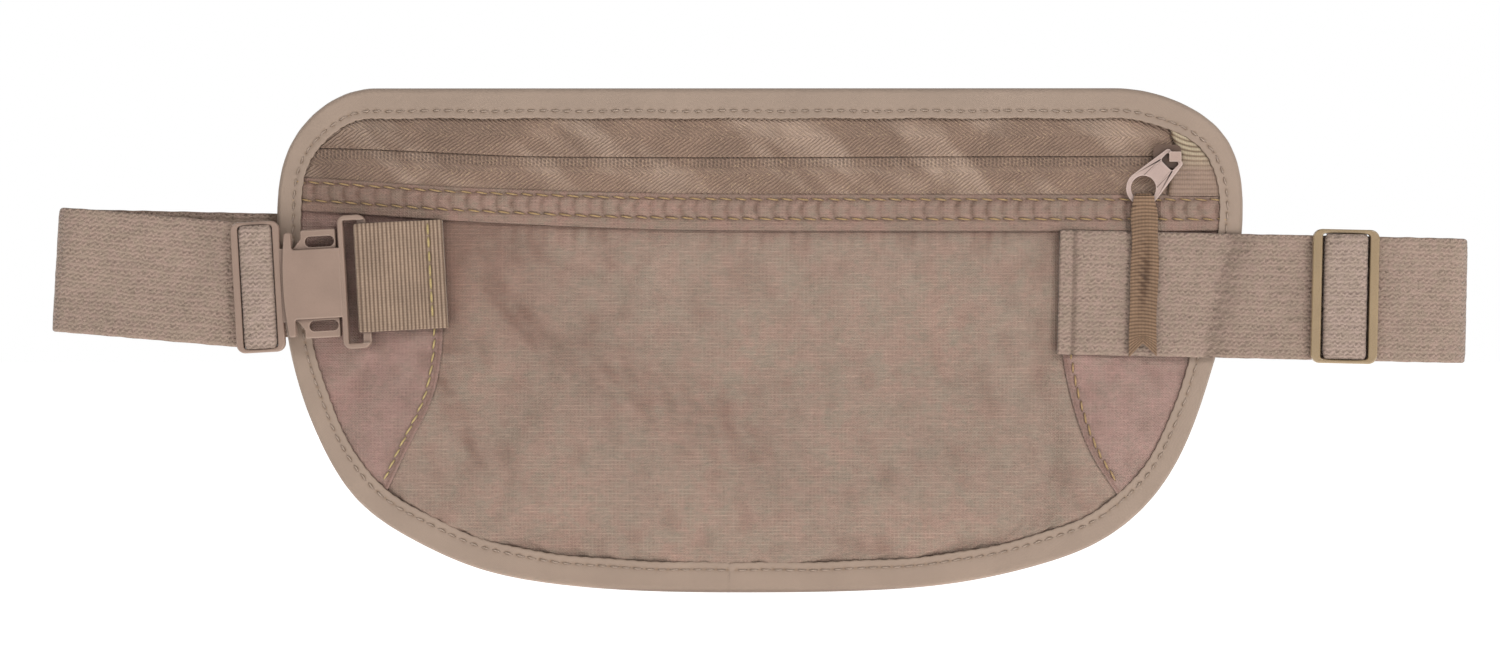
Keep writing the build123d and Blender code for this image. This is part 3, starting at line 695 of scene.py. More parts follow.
# ---------------------------------------------------------------- pouch
def tuck(x, y, z):
    """Keep what is sewn on the front under the binding's lip."""
    distance = edge_distance(x, z)
    free = smoothstep((distance - 8.2) / 2.5)
    return np.maximum(y, -(depth_at(distance) + EDGE_LIFT - 0.55 + 3 * free))


band_low, band_high = box("facing_band")
zip_low, zip_high = box("zip_tape_upper")
lower_tape_low, lower_tape_high = box("zip_tape_lower")
SLIT_Z = (zip_low[2] + lower_tape_high[2]) / 2


def facing_lines():
    """Bottom and top edge of the facing band as functions of X, rising towards the left."""
    points = np.unique(
        np.round([(v.co.x / MM, v.co.z / MM) for v in frame["nodes"]["facing_band"].data.vertices], 2), axis=0
    )
    inner = points[(points[:, 0] > band_low[0] + 7) & (points[:, 0] < band_high[0] - 0.5)]
    middle = (band_low[2] + band_high[2]) / 2
    split = np.interp(inner[:, 0], [-140, -100, -40, 0, 150], [44.5, 41.3, 38.8, 38.3, 38.6])
    lower, upper = inner[inner[:, 1] < split], inner[inner[:, 1] >= split]
    lower = np.vstack([[band_low[0], 39.6], lower[np.argsort(lower[:, 0])]])
    upper = np.vstack([[band_low[0], 49.6], upper[np.argsort(upper[:, 0])]])
    return lower, upper


def soft_line(points, blur=14.0):
    """A polyline made into a smooth function of X."""
    xs = np.arange(-170, 171, 2.0)
    zs = np.interp(xs, points[:, 0], points[:, 1])
    kernel = np.exp(-((np.arange(-20, 21) * 2.0) ** 2) / (2 * blur ** 2))
    kernel /= kernel.sum()
    padded = np.concatenate([np.full(20, zs[0]), zs, np.full(20, zs[-1])])
    smooth = np.convolve(padded, kernel, mode="valid")
    return lambda x: np.interp(x, xs, smooth)


LOWER_POINTS, UPPER_POINTS = facing_lines()
band_bottom = soft_line(LOWER_POINTS)
band_top = soft_line(UPPER_POINTS)
EDGE_INSET = 1.6


def slit_line(x):
    """The zip's line: it rises a little towards the far left end and sags slightly in the middle."""
    return SLIT_Z + 2.6 * smoothstep((-60 - x) / 80) - 0.35 * np.exp(-((x + 10) / 55) ** 2)


def panel_left(z):
    return outline_x(z, EDGE_INSET, -1)


def panel_right(z):
    return outline_x(z, EDGE_INSET, 1)


def back_panel():
    heights = np.linspace(-72.5, 73.0, 60)
    x, z = rows(panel_left, panel_right, heights, 110)
    distance = edge_distance(x, z)
    y = BACK_Y - 0.45 - 0.25 * smoothstep(1 - distance / 14) + 0.12 * ripple(x, z, 21, 60) * smoothstep(distance / 20)
    y = np.minimum(y, BACK_Y - 0.3)
    cloth_sheet(
        "back_panel_cloth", np.stack([x, y, z], axis=2), 0.35, "pouch",
        replaces=("back_panel",), material=BACK_CLOTH,
    )


def drape(x, y, z, pinned, frames, cap):
    """Let a sheet of cloth settle with slack and a little air behind it, its edges held. Returns the new points."""
    n, m = x.shape
    mesh = bpy.data.meshes.new("drape")
    verts = np.stack([x, y, z], axis=2).reshape(-1, 3)
    mesh.from_pydata((verts * MM).tolist(), [], grid_quads(n, m))
    obj = bpy.data.objects.new("drape", mesh)
    bpy.context.scene.collection.objects.link(obj)
    group = obj.vertex_groups.new(name="held")
    group.add([int(i) for i in np.flatnonzero(pinned.ravel())], 1.0, "REPLACE")
    cloth = obj.modifiers.new("cloth", "CLOTH")
    settings = cloth.settings
    settings.quality = 6
    settings.mass = 0.2
    settings.tension_stiffness = 12
    settings.compression_stiffness = 12
    settings.shear_stiffness = 4
    settings.bending_stiffness = 0.3
    settings.vertex_group_mass = "held"
    settings.shrink_min = -0.012
    settings.use_pressure = True
    settings.uniform_pressure_force = 0.35
    settings.effector_weights.gravity = 0
    cloth.point_cache.frame_start = 1
    cloth.point_cache.frame_end = frames
    scene = bpy.context.scene
    for number in range(1, frames + 1):
        scene.frame_set(number)
    settled = obj.evaluated_get(bpy.context.evaluated_depsgraph_get()).to_mesh()
    points = np.empty(len(settled.vertices) * 3)
    settled.vertices.foreach_get("co", points)
    points = points.reshape(-1, 3) / MM
    bpy.data.objects.remove(obj)
    bpy.data.meshes.remove(mesh)
    scene.frame_set(1)
    move = points - verts
    size = np.linalg.norm(move, axis=1)[:, None]
    move *= np.minimum(1, cap / np.maximum(size, 1e-9))
    return (verts + move).reshape(n, m, 3)


def front_panel():
    heights = np.concatenate([np.linspace(-72.5, -50, 20)[:-1], np.linspace(-50, 41.5, 52)])
    x, z = rows(panel_left, panel_right, heights, 190)
    top = band_top(x) - 1.5
    lift = smoothstep((z - 10) / 31.5)
    z = z + (top - 41.5) * lift
    below = band_bottom(x) - z
    y = front_y(x, z) + 0.28 * np.exp(-(below / 2.6) ** 2) * np.cos(math.pi * x / BAND_PITCH) ** 6
    held = (np.abs(x) > 84) & (np.abs(z - strap_z(x)) < STRAP_WIDTH / 2 + 3)
    pinned = (edge_distance(x, z) < 8) | (below < 3) | held
    # Painted shade: the furrows, puckers under the band, broad darker patches, the left part darker, and the shadows
    # under the band and beside the webbing tab.
    tattered = 0.6 + 0.5 * ripple(x, z, 85, 5)
    shade = sum(power * crease(x, z, start, end, reach) for start, end, reach, power in FURROWS) * tattered
    tugged = np.exp(-((below - 2) / 3.2) ** 2) * (0.5 + 0.5 * np.cos(2 * math.pi * x / BAND_PITCH + ripple(x, z, 86, 9))) ** 3
    shade = shade + 0.6 * tugged * smoothstep(0.5 + ripple(x, z * 0, 87, 30))
    shade = shade + 0.35 * np.clip(ripple(x, z, 88, 11) - 0.2, 0, 1)
    shade = shade + 0.42 * smoothstep((-42 - x) / 50) * smoothstep((z + 20) / 50) + 0.12 * smoothstep((-20 - x) / 70)
    shade = shade + 0.6 * np.exp(-(below / 1.6) ** 2) + 0.5 * np.exp(-((x + 93) / 5) ** 2) * (np.abs(z - 15) < 19)
    points = drape(x, y, z, pinned, 24, 1.3)
    cloth_sheet(
        "front_panel_cloth", points, 0.35, "pouch", painted_shade=np.clip(shade, 0, 1),
        replaces=("front_panel",), material=FRONT_CLOTH,
    )
    return points


def settle_on(points):
    """Y of the draped front panel under any point, so that what is sewn on lies on it."""
    xs, ys, zs = (points[:, :, k] for k in range(3))
    flat_x, flat_y, flat_z = xs.ravel(), ys.ravel(), zs.ravel()

    def surface(x, z):
        out = np.empty(np.size(x))
        qx, qz = np.ravel(x), np.ravel(z)
        for start in range(0, len(qx), 1500):
            dx = qx[start:start + 1500, None] - flat_x[None, :]
            dz = qz[start:start + 1500, None] - flat_z[None, :]
            weight = 1 / ((dx * dx + dz * dz) ** 2 + 0.5)
            out[start:start + 1500] = (weight * flat_y[None, :]).sum(axis=1) / weight.sum(axis=1)
        return out.reshape(np.shape(x))

    return surface


back_panel()
PANEL_POINTS = front_panel()
panel_surface = settle_on(PANEL_POINTS)


def pucker(distance, along, pitch, depth, reach):
    """Dimples that a row of stitches pulls into cloth, deepest at the stitches and fading away from them."""
    return depth * np.exp(-(distance / reach) ** 2) * (0.5 + 0.5 * np.cos(2 * math.pi * along / pitch))


def wing(side, seam_x, node, name):
    """A patch over the panel, its free edge folded under and sewn along a curved seam."""
    low, high = box(node)
    top_z = high[2] + 0.5
    heights = np.linspace(low[2] + 1.5, top_z + 2.0, 74)

    def seam(z):
        return seam_x(z)

    if side < 0:
        x, z = rows(panel_left, seam, heights, 46)
        free = 1 - (x - x[:, :1]) / (x[:, -1:] - x[:, :1])
    else:
        x, z = rows(seam, panel_right, heights, 46)
        free = (x - x[:, :1]) / (x[:, -1:] - x[:, :1])
    away = np.abs(x - seam_x(z))
    z = np.minimum(z, band_bottom(x) + 2.0)
    y = panel_surface(x, z) - 0.42 - 0.35 * np.exp(-(away / 1.6) ** 2)
    y = y + pucker(away - 2.5, z, 3.6, 0.32, 1.4)
    y = y - 0.34 * ripple(x, z, 31 + side, 26) * smoothstep(away / 14) * smoothstep(edge_distance(x, z) / 14)
    if side > 0:
        ridge = (x - 113) * 0.77 + (z + 24) * 0.64
        y = y - 0.55 * np.exp(-(ridge / 4.0) ** 2) * smoothstep((8 - z) / 12) * smoothstep((z + 62) / 20)
    y = tuck(x, y + 0.3 * np.exp(-(away / 0.35) ** 2), z)
    # Painted shade under the band and along the folded seam, a little more on the left wing.
    shade = 0.9 * np.exp(-((band_bottom(x) - z) / 1.5) ** 2) + 0.8 * np.exp(-((away - 1.0) / 0.6) ** 2)
    shade = shade + 0.3 * np.clip(ripple(x, z, 89, 8), 0, 1) + (0.15 if side < 0 else 0)
    obj = cloth_sheet(
        name, np.stack([x, y, z], axis=2), 0.3, "pouch", painted_shade=np.clip(shade, 0, 1),
        replaces=(node,), material=WING_CLOTH,
    )
    seam_z = np.linspace(band_bottom(np.array(seam_x(30.0))) - 0.3, low[2] + 7.5, 160)
    line_x = seam_x(seam_z) + side * 2.5
    line_y = panel_surface(line_x, seam_z) - 0.42 - 0.35 * math.exp(-(2.5 / 1.6) ** 2) - 0.1
    stitches(
        name + "_stitches", np.stack([line_x, line_y, seam_z], axis=1), "pouch", 3.9, 3.6, 0.3, 0.36,
        GOLD_THREAD if side < 0 else BAND_THREAD, slant=0.45,
    )
    return obj


def seam_curve(node, side):
    """X of a wing's free edge as a smooth function of height, read from the flat node."""
    points = np.unique(np.round([(v.co.x / MM, v.co.z / MM) for v in frame["nodes"][node].data.vertices], 2), axis=0)
    edge = points[edge_distance(points[:, 0], points[:, 1]) > 1.6]
    below_top = edge[edge[:, 1] < points[:, 1].max() - 8]
    ordered = below_top[np.argsort(below_top[:, 1])]
    top_x = ordered[-1, 0]
    zs = np.arange(-90, 60, 1.5)
    knots_z = np.concatenate([ordered[:, 1], [60]])
    knots_x = np.concatenate([ordered[:, 0], [top_x]])
    slope = (knots_x[1] - knots_x[0]) / (knots_z[1] - knots_z[0])
    raw = np.where(zs < knots_z[0], knots_x[0] + (zs - knots_z[0]) * slope, np.interp(zs, knots_z, knots_x))
    kernel = np.exp(-(np.arange(-6, 7) * 1.5) ** 2 / (2 * 4.0 ** 2))
    kernel /= kernel.sum()
    smooth = np.convolve(np.concatenate([np.full(6, raw[0]), raw, np.full(6, raw[-1])]), kernel, mode="valid")
    return lambda z: np.interp(z, zs, smooth)


wing(-1, seam_curve("wing_left", -1), "wing_left", "left_wing_cloth")
wing(1, seam_curve("wing_right", 1), "wing_right", "right_wing_cloth")


def facing_band():
    """The strip under the zip: two rows of stitches with the cloth puckered between them."""
    across = np.linspace(0, 1, 26)
    xs = np.arange(panel_left(44.0) + 0.4, panel_right(38.0) - 0.4, 0.6)
    bottom, top = band_bottom(xs), band_top(xs)
    x = np.repeat(xs[None, :], len(across), axis=0)
    z = bottom[None, :] + (top - bottom)[None, :] * across[:, None]
    wander = 0.5 * ripple(x, x * 0, 41, 9)
    base = front_y(x, z) - 0.75
    from_low = (across[:, None] - BAND_ROW_LOW) * (top - bottom)[None, :]
    from_high = (across[:, None] - BAND_ROW_HIGH) * (top - bottom)[None, :]
    lean = 1.1 * np.sin(math.pi * (across[:, None] - BAND_ROW_LOW) / (BAND_ROW_HIGH - BAND_ROW_LOW))
    stripes = 0.5 + 0.5 * np.cos(2 * math.pi * (x + lean + wander) / BAND_PITCH)
    strength = 0.75 + 0.35 * ripple(x, z * 0, 43, 50)
    middle = (BAND_ROW_LOW + BAND_ROW_HIGH) / 2
    puff = 0.75 * (1 - stripes ** 3) * np.exp(-((across[:, None] - middle) / 0.27) ** 4) * strength
    y = base + 0.25 - puff + 0.25 * np.exp(-(from_low / 0.6) ** 2) + 0.25 * np.exp(-(from_high / 0.6) ** 2)
    y = y - 0.25 * np.exp(-((across[:, None] - 0.12) / 0.1) ** 2)
    y = y + 0.3 * smoothstep((across[:, None] - 0.94) / 0.06) - 0.4 * smoothstep((0.1 - across[:, None]) / 0.1)
    y = tuck(x, y, z)
    # Painted shade: the band's left end darker, the hollows between the puckers and the needle holes.
    between = np.exp(-((across[:, None] - middle) / 0.25) ** 4)
    hole = (0.5 + 0.5 * np.cos(2 * math.pi * (x - xs[0]) / BAND_PITCH)) ** 5
    hole_between = (0.5 - 0.5 * np.cos(2 * math.pi * (x - xs[0]) / BAND_PITCH)) ** 5
    painted_shade = 0.32 * smoothstep((-75 - x) / 45) + 0.9 * stripes ** 3 * between * strength * (0.7 + 0.5 * ripple(x, z, 44, 4))
    painted_shade = painted_shade + 0.8 * hole * np.exp(-(from_low / 0.55) ** 2) + 0.8 * hole_between * np.exp(-(from_high / 0.55) ** 2)
    cloth_sheet(
        "facing_band_cloth", np.stack([x, y, z], axis=2), 0.45, "pouch", painted_shade=np.clip(painted_shade, 0, 1),
        replaces=("facing_band",), material=BAND_CLOTH,
    )
    for share, name, offset in (
        (BAND_ROW_LOW, "band_stitches_lower", 0.0), (BAND_ROW_HIGH, "band_stitches_upper", 0.5),
    ):
        line_x = xs + offset * BAND_PITCH
        line_x = line_x[line_x < xs[-1] - 1]
        line_z = band_bottom(line_x) + (band_top(line_x) - band_bottom(line_x)) * share
        line_y = front_y(line_x, line_z) - 0.62
        stitches(
            name, np.stack([line_x, line_y, line_z], axis=1), "pouch", BAND_PITCH, 4.0, 0.25, 0.34, BAND_THREAD,
            slant=0.55,
        )


BAND_ROW_LOW, BAND_ROW_HIGH = 0.32, 0.86
facing_band()


def coil_bulge(z, x):
    """The coil pushes the tapes out along the slit, and the two folded edges dip where they meet."""
    away = z - slit_line(x)
    return 0.3 * np.exp(-(away / 3.2) ** 2) - 0.4 * np.exp(-(away / 0.24) ** 2)


def zip_tapes():
    xs = np.arange(panel_left(58.0) + 0.3, panel_right(54.0) - 0.3, 0.9)
    tops = np.array([top_of_outline(v) for v in xs])
    for name, node, upper in (("upper_zip_tape", "zip_tape_upper", 1), ("lower_zip_tape", "zip_tape_lower", 0)):
        across = np.linspace(0, 1, 34)
        across = across ** 1.6 if upper else 1 - (1 - across) ** 1.6
        low = slit_line(xs) + 0.06 if upper else band_top(xs) - 1.4
        high = np.maximum(tops, low + 0.8) if upper else slit_line(xs) - 0.06
        x = np.repeat(xs[None, :], len(across), axis=0)
        z = low[None, :] + (high - low)[None, :] * across[:, None]
        from_slit = z - slit_line(x)
        wave = 0.13 * ripple(x, z, 51 + upper, 18) * smoothstep((np.abs(from_slit) - 2) / 4)
        y = front_y(x, z) + 0.1 - coil_bulge(z, x) - wave
        if upper:
            y = y + 0.12 * np.exp(-(x / 90 + 1.2) ** 2) * np.cos(2 * math.pi * x / 1.6) * np.exp(-(from_slit / 0.5) ** 2)
        else:
            y = y + 0.22 * np.exp(-((from_slit + 2.9) / 0.35) ** 2)
        cloth_sheet(
            name, np.stack([x, y, z], axis=2), 0.4, "pouch", uv=np.stack([x, from_slit], axis=2),
            replaces=(node,), material=ZIP_TAPE,
        )


def top_of_outline(x):
    """Height of the pouch's outline above an X, a little inside it."""
    ring = OUTLINE + INWARD * EDGE_INSET
    part = ring[ring[:, 1] > 20]
    order = np.argsort(part[:, 0])
    return float(np.interp(x, part[order, 0], part[order, 1]))


zip_tapes()


def coil(node, name, side):
    """One half of the coil: a flattened spiral of nylon that lies against the back of its tape."""
    low, high = box(node)
    turns = int((high[0] - low[0]) / 1.4)
    steps = turns * 10
    t = np.linspace(0, turns * 2 * math.pi, steps)
    radius = 0.28
    x = np.linspace(low[0] + 7, high[0] - 7, steps)
    half_y = (high[1] - low[1]) / 2 - radius - 0.15
    middle_z, half_z = (low[2] + high[2]) / 2, (high[2] - low[2]) / 2 - radius
    middle_z = middle_z + slit_line(x) - SLIT_Z
    middle_y = front_y(x, middle_z) + 0.35 + half_y + radius
    path = np.stack([x, middle_y + half_y * np.sin(t), middle_z + side * half_z * np.cos(t)], axis=1)
    tangent = np.gradient(path, axis=0)
    tangent /= np.linalg.norm(tangent, axis=1)[:, None]
    side_way = np.cross(tangent, [1.0, 0, 0])
    side_way /= np.linalg.norm(side_way, axis=1)[:, None]
    up = np.cross(tangent, side_way)
    angles = np.linspace(0, 2 * math.pi, 6)[:-1]
    verts = path[:, None, :] + radius * (
        side_way[:, None, :] * np.cos(angles)[None, :, None] + up[:, None, :] * np.sin(angles)[None, :, None]
    )
    faces = grid_quads(steps, 5, wrap_m=True)
    faces += [tuple(range(5))[::-1], tuple(range((steps - 1) * 5, steps * 5))]
    make_object(name, verts.reshape(-1, 3), faces, "pouch", replaces=(node,), material=COIL)


coil("zip_coil_upper", "coil_upper", 1)
coil("zip_coil_lower", "coil_lower", -1)


def garage_tab():
    """Ribbed tape over the closed end of the zip, its left edge lifted round the slider."""
    low, high = box("zip_garage_tab")
    heights = np.arange(low[2] - 0.2, high[2] + 0.6, 0.17)

    def left(z):
        return low[0] - 3.2 + 2.6 * np.exp(-((z - SLIT_Z - 0.5) / 4.0) ** 2) - 0.9 * smoothstep((50 - z) / 6)

    x, z = rows(left, panel_right, heights, 34)
    share = (x - x[:, :1]) / (x[:, -1:] - x[:, :1])
    arched = z - 0.035 * (x - x.mean()) ** 2 * smoothstep((z - 50) / 12)
    wave = 0.5 + 0.5 * np.cos(2 * math.pi * arched / GARAGE_PITCH)
    strong = 0.45 + 0.55 * smoothstep((z - 50) / 7)
    y = front_y(x, z) - 0.75 - 0.5 * np.exp(-((z - SLIT_Z) / 6.5) ** 2) * (1 - share)
    y = y - 0.26 * strong * wave ** 0.6 - 0.16 * ripple(x, z, 61, 9)
    y = tuck(x, y + 0.35 * np.exp(-(share / 0.03) ** 2), z)
    # Painted shade in the rib grooves and along the lifted left edge.
    painted_shade = (1 - wave) ** 2 * strong + 0.8 * np.exp(-(share / 0.04) ** 2)
    cloth_sheet(
        "garage_tab_ribbed", np.stack([x, y, z], axis=2), 0.5, "pouch", uv=np.stack([arched, x], axis=2),
        painted_shade=painted_shade, replaces=("zip_garage_tab",), material=GARAGE,
    )


GARAGE_PITCH = 1.4
garage_tab()


def flat_arc(arc):
    """The way round the outline bent into a shape that ends where it starts, so that noise along it closes."""
    return np.sin(arc * 2 * math.pi / PERIMETER) * PERIMETER / 4


def binding():
    """Knitted tape folded over the whole edge, wider along the top and bottom than at the sides."""
    n = len(OUTLINE)
    arc = np.arange(n) * PERIMETER / n
    wide = 7.4 + 1.9 * np.abs(INWARD[:, 1]) ** 1.5
    wavy = 0.14 * np.sin(arc * 2 * math.pi / 29) + 0.10 * np.sin(arc * 2 * math.pi / SELF_PITCH + 1.3)
    wide = wide + wavy
    share = np.array([1.0, 0.98, 0.93, 0.86, 0.8, 0.76, 0.72, 0.68, 0.6, 0.48, 0.36, 0.24, 0.16])
    lip_front = EDGE_LIFT
    pieces = []
    uv_across = []
    for part in share:
        inset = wide * part
        y = -(depth_at(inset) + lip_front - 0.30 * (part > 0.99))
        stitch_at = np.exp(-(((wide - inset) - STITCH_INSET) / 0.7) ** 2)
        y = y + stitch_at * 0.30 * (0.45 + 0.55 * (0.5 + 0.5 * np.cos(2 * math.pi * arc / SELF_PITCH)))
        y = y - 0.10 * ripple(flat_arc(arc), inset, 17, 16) * (1 - part)
        pieces.append((inset, y))
        uv_across.append(inset)
    rear, front = BACK_Y + 0.42, -(EDGE_DEPTH + lip_front)
    middle, half = (rear + front) / 2, (rear - front) / 2
    for angle in np.linspace(0, math.pi, 9)[1:-1]:
        inset = np.full(n, 1.35 - 1.35 * math.sin(angle))
        pieces.append((inset, np.full(n, middle - half * math.cos(angle))))
        uv_across.append(-np.full(n, 2 * angle))
    for part in (0.2, 0.5, 0.8, 1.0):
        pieces.append((wide * part, np.full(n, rear)))
        uv_across.append(-5 - wide * part)
    for part in (0.98, 0.5, 0.25):
        pieces.append((wide * part, np.full(n, rear - 0.4)))
        uv_across.append(-5 - wide * part)
    for part in (0.25, 0.5, 0.8, 0.98):
        inset = wide * part
        pieces.append((inset, -(depth_at(inset) + lip_front - 0.5)))
        uv_across.append(inset)
    loops = []
    for inset, y in pieces:
        flat = OUTLINE + INWARD * inset[:, None]
        loops.append(np.stack([flat[:, 0], y, flat[:, 1]], axis=1))
    verts = np.stack(loops, axis=1)
    m = len(pieces)
    uv = np.stack([np.repeat(arc[:, None], m, axis=1).ravel(), np.stack(uv_across, axis=1).ravel()], axis=1)
    # Painted shade: the lip's edges golden brown, partly the tape's own edge colour, and the stitch dimples darker.
    painted_shade = np.zeros((n, m))
    painted_shade[:, 0] = painted_shade[:, -1] = 1
    for k in range(len(share)):
        at_row = np.exp(-(((wide - wide * share[k]) - STITCH_INSET) / 0.5) ** 2)
        painted_shade[:, k] += 0.7 * at_row * (0.5 + 0.5 * np.cos(2 * math.pi * arc / SELF_PITCH)) ** 4
    make_object(
        "edge_binding_tape", verts.reshape(-1, 3), grid_quads(n, m, wrap_n=True, wrap_m=True), "pouch",
        replaces=("edge_binding",), uv=uv, painted_shade=painted_shade, material=BINDING,
    )
    inset = wide - STITCH_INSET
    flat = OUTLINE + INWARD * inset[:, None]
    y = -(depth_at(inset) + lip_front) + 0.12
    path = np.stack([flat[:, 0], y, flat[:, 1]], axis=1)
    stitches("binding_stitches", np.vstack([path, path[:1]]), "pouch", SELF_PITCH, 2.7, 0.22, 0.2, SELF_THREAD)
    rear_path = np.stack([flat[:, 0], np.full(n, rear - 0.02), flat[:, 1]], axis=1)
    stitches(
        "binding_stitches_rear", np.vstack([rear_path, rear_path[:1]]), "pouch", SELF_PITCH, 2.7, 0.2, 0.16,
        SELF_THREAD, facing=(0, 1, 0),
    )


SELF_PITCH = 3.6
STITCH_INSET = 2.4
binding()


# ---------------------------------------------------------------- strap
LEFT_RUN_TILT = math.radians(4.9)
FOLD_Y = (STRAP_FRONT + STRAP_REAR) / 2
OUTER_MID = (STRAP_REAR - STRAP_FRONT) / 2 - STRAP_THICKNESS / 2
LAYER_STEP = STRAP_THICKNESS + 0.1
RIGHT_CENTRE = RIGHT_FOLD - (STRAP_REAR - STRAP_FRONT) / 2
LEFT_CENTRE = LEFT_FOLD + (STRAP_REAR - STRAP_FRONT) / 2


def right_arc(points, radius, back=False):
    turns = np.linspace(-math.pi / 2, math.pi / 2, 9)
    for angle in (turns[::-1] if back else turns):
        points.append((RIGHT_CENTRE + radius * math.cos(angle), FOLD_Y + radius * math.sin(angle), 0))


def left_arc(points, radius, back=False):
    """The left fold. The third value says how far the strap has taken the front run's steeper tilt."""
    turns = np.linspace(math.pi / 2, 3 * math.pi / 2, 9)
    for k, angle in enumerate(turns[::-1] if back else turns):
        steep = 1 - k / 8 if back else k / 8
        points.append((LEFT_CENTRE + radius * math.cos(angle), FOLD_Y + radius * math.sin(angle), steep))


def uneven(s, v, seed=5):
    """The soft unevenness of knitted elastic at a distance along and across, with looped edges."""
    edge = smoothstep((np.abs(v) - np.abs(v).max() + 2.4) / 1.6)
    loops = 0.10 * np.cos(2 * math.pi * s / EDGE_LOOP) * edge
    return 0.06 * ripple(s, v, seed, 5) + loops - 0.12 * edge, np.zeros_like(s)


EDGE_LOOP = 2.8


def along_path(knots, step):
    """Points at about even steps along a path of X, Y and steepness, its corners softened."""
    length = np.concatenate([[0], np.cumsum(np.linalg.norm(np.diff(knots[:, :2], axis=0), axis=1))])
    where = np.linspace(0, length[-1], int(length[-1] / step))
    x, y, steep = (np.interp(where, length, knots[:, k]) for k in range(3))
    for _ in range(int(2.5 / step)):
        for values in (x, y):
            values[1:-1] = (values[:-2] + 2 * values[1:-1] + values[2:]) / 4
    return x, y, steep


def strap_layer(name, knots, step, steps, inner_steps, relief, replaced):
    """One layer of the strap along its knots, with its front run on the left tilted more steeply."""
    x, y, steep = along_path(knots, step)
    level = strap_z(x)
    lean = strap_z(LEFT_CENTRE) - (x - LEFT_CENTRE) * math.tan(LEFT_RUN_TILT)
    z = level + (lean - level) * steep
    tilt = STRAP_TILT + (LEFT_RUN_TILT - STRAP_TILT) * steep
    across = np.stack([np.sin(tilt), np.zeros_like(tilt), np.cos(tilt)], axis=1)
    y = y + 0.12 * ripple(x, z * 0, 71, 40) * (np.abs(x) > 150)
    from_fold = np.minimum(RIGHT_FOLD - x, x - LEFT_FOLD)
    width = STRAP_WIDTH - 1.5 * np.exp(-(np.maximum(from_fold, 0) / 1.1) ** 2)
    width = width + 0.16 * ripple(x, y * 0, 77, 7)
    obj = strip(
        name, np.stack([x, y, z], axis=1), across, width, STRAP_THICKNESS, None,
        relief=relief, steps=steps, inner_steps=inner_steps, material=ELASTIC,
    )
    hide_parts(*replaced)
    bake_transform(obj)


def strap():
    """The whole elastic, from its hem on the right wing round the belt to the plug's bar, then back inside itself."""
    bar_end = LEFT_FOLD + 64.6
    front, inner = FOLD_Y - OUTER_MID, OUTER_MID - LAYER_STEP
    points = [(HEM_X, -FACING_Y - 1.05, 0), (HEM_X + 4, -FACING_Y - 0.75, 0), (HEM_X + 14, -FACING_Y - 0.35, 0)]
    points += [(125, -6.15, 0), (136, -5.55, 0), (144, -5.15, 0), (151, -5.75, 0), (158, -7.0, 0)]
    points += [(166, front, 0), (185, front, 0), (RIGHT_CENTRE, front, 0)]
    right_arc(points, OUTER_MID)
    points += [(150, FOLD_Y + OUTER_MID, 0), (-150, FOLD_Y + OUTER_MID, 0)]
    left_arc(points, OUTER_MID)
    points += [(-190, front, 1), (bar_end - 1.0, front, 1), (bar_end, front + 0.3, 1)]

    def outer_relief(s, v):
        lift, painted_shade = uneven(s, v)
        hem = 0.45 * smoothstep((HEM_WIDTH - s) / 0.7) - 0.4 * np.exp(-((s - HEM_WIDTH - 0.5) / 0.7) ** 2)
        diagonal = s + HEM_X - PULL_X - 0.21 * v + 1.2 * ripple(v, s * 0, 79, 5)
        pull = np.exp(-(np.maximum(-diagonal, diagonal / 3.5) / 1.8) ** 2)
        rough = 0.5 + 0.5 * ripple(s, v, 83, 2.2)
        # Painted shade in the step after the hem and in the rumples where the strap is pulled over the pouch's edge.
        painted_shade = 0.9 * np.exp(-((s - HEM_WIDTH - 0.5) / 0.6) ** 2) + 0.95 * pull * rough
        return lift + hem + pull * (0.25 * rough - 0.3), np.clip(painted_shade, 0, 1)

    strap_layer("elastic_strap", np.array(points), 0.7, 42, 12, outer_relief, ("strap_belt_run", "strap_buckle_run"))

    points = [(bar_end, front + 1.1, 1), (bar_end - 1.0, front + LAYER_STEP, 1), (-190, front + LAYER_STEP, 1)]
    left_arc(points, inner, back=True)
    points += [(-150, FOLD_Y + inner, 0), (150, FOLD_Y + inner, 0)]
    right_arc(points, inner, back=True)
    points += [(190, front + LAYER_STEP, 0), (box("strap_return_run")[1][0] - 40, front + LAYER_STEP, 0)]
    strap_layer("elastic_strap_return", np.array(points), 1.4, 26, 26, uneven, ("strap_return_run",))


HEM_X = 89.6
HEM_WIDTH = 4.0
PULL_X = 138.4                                       # where the strap is pulled over the pouch's edge
strap()


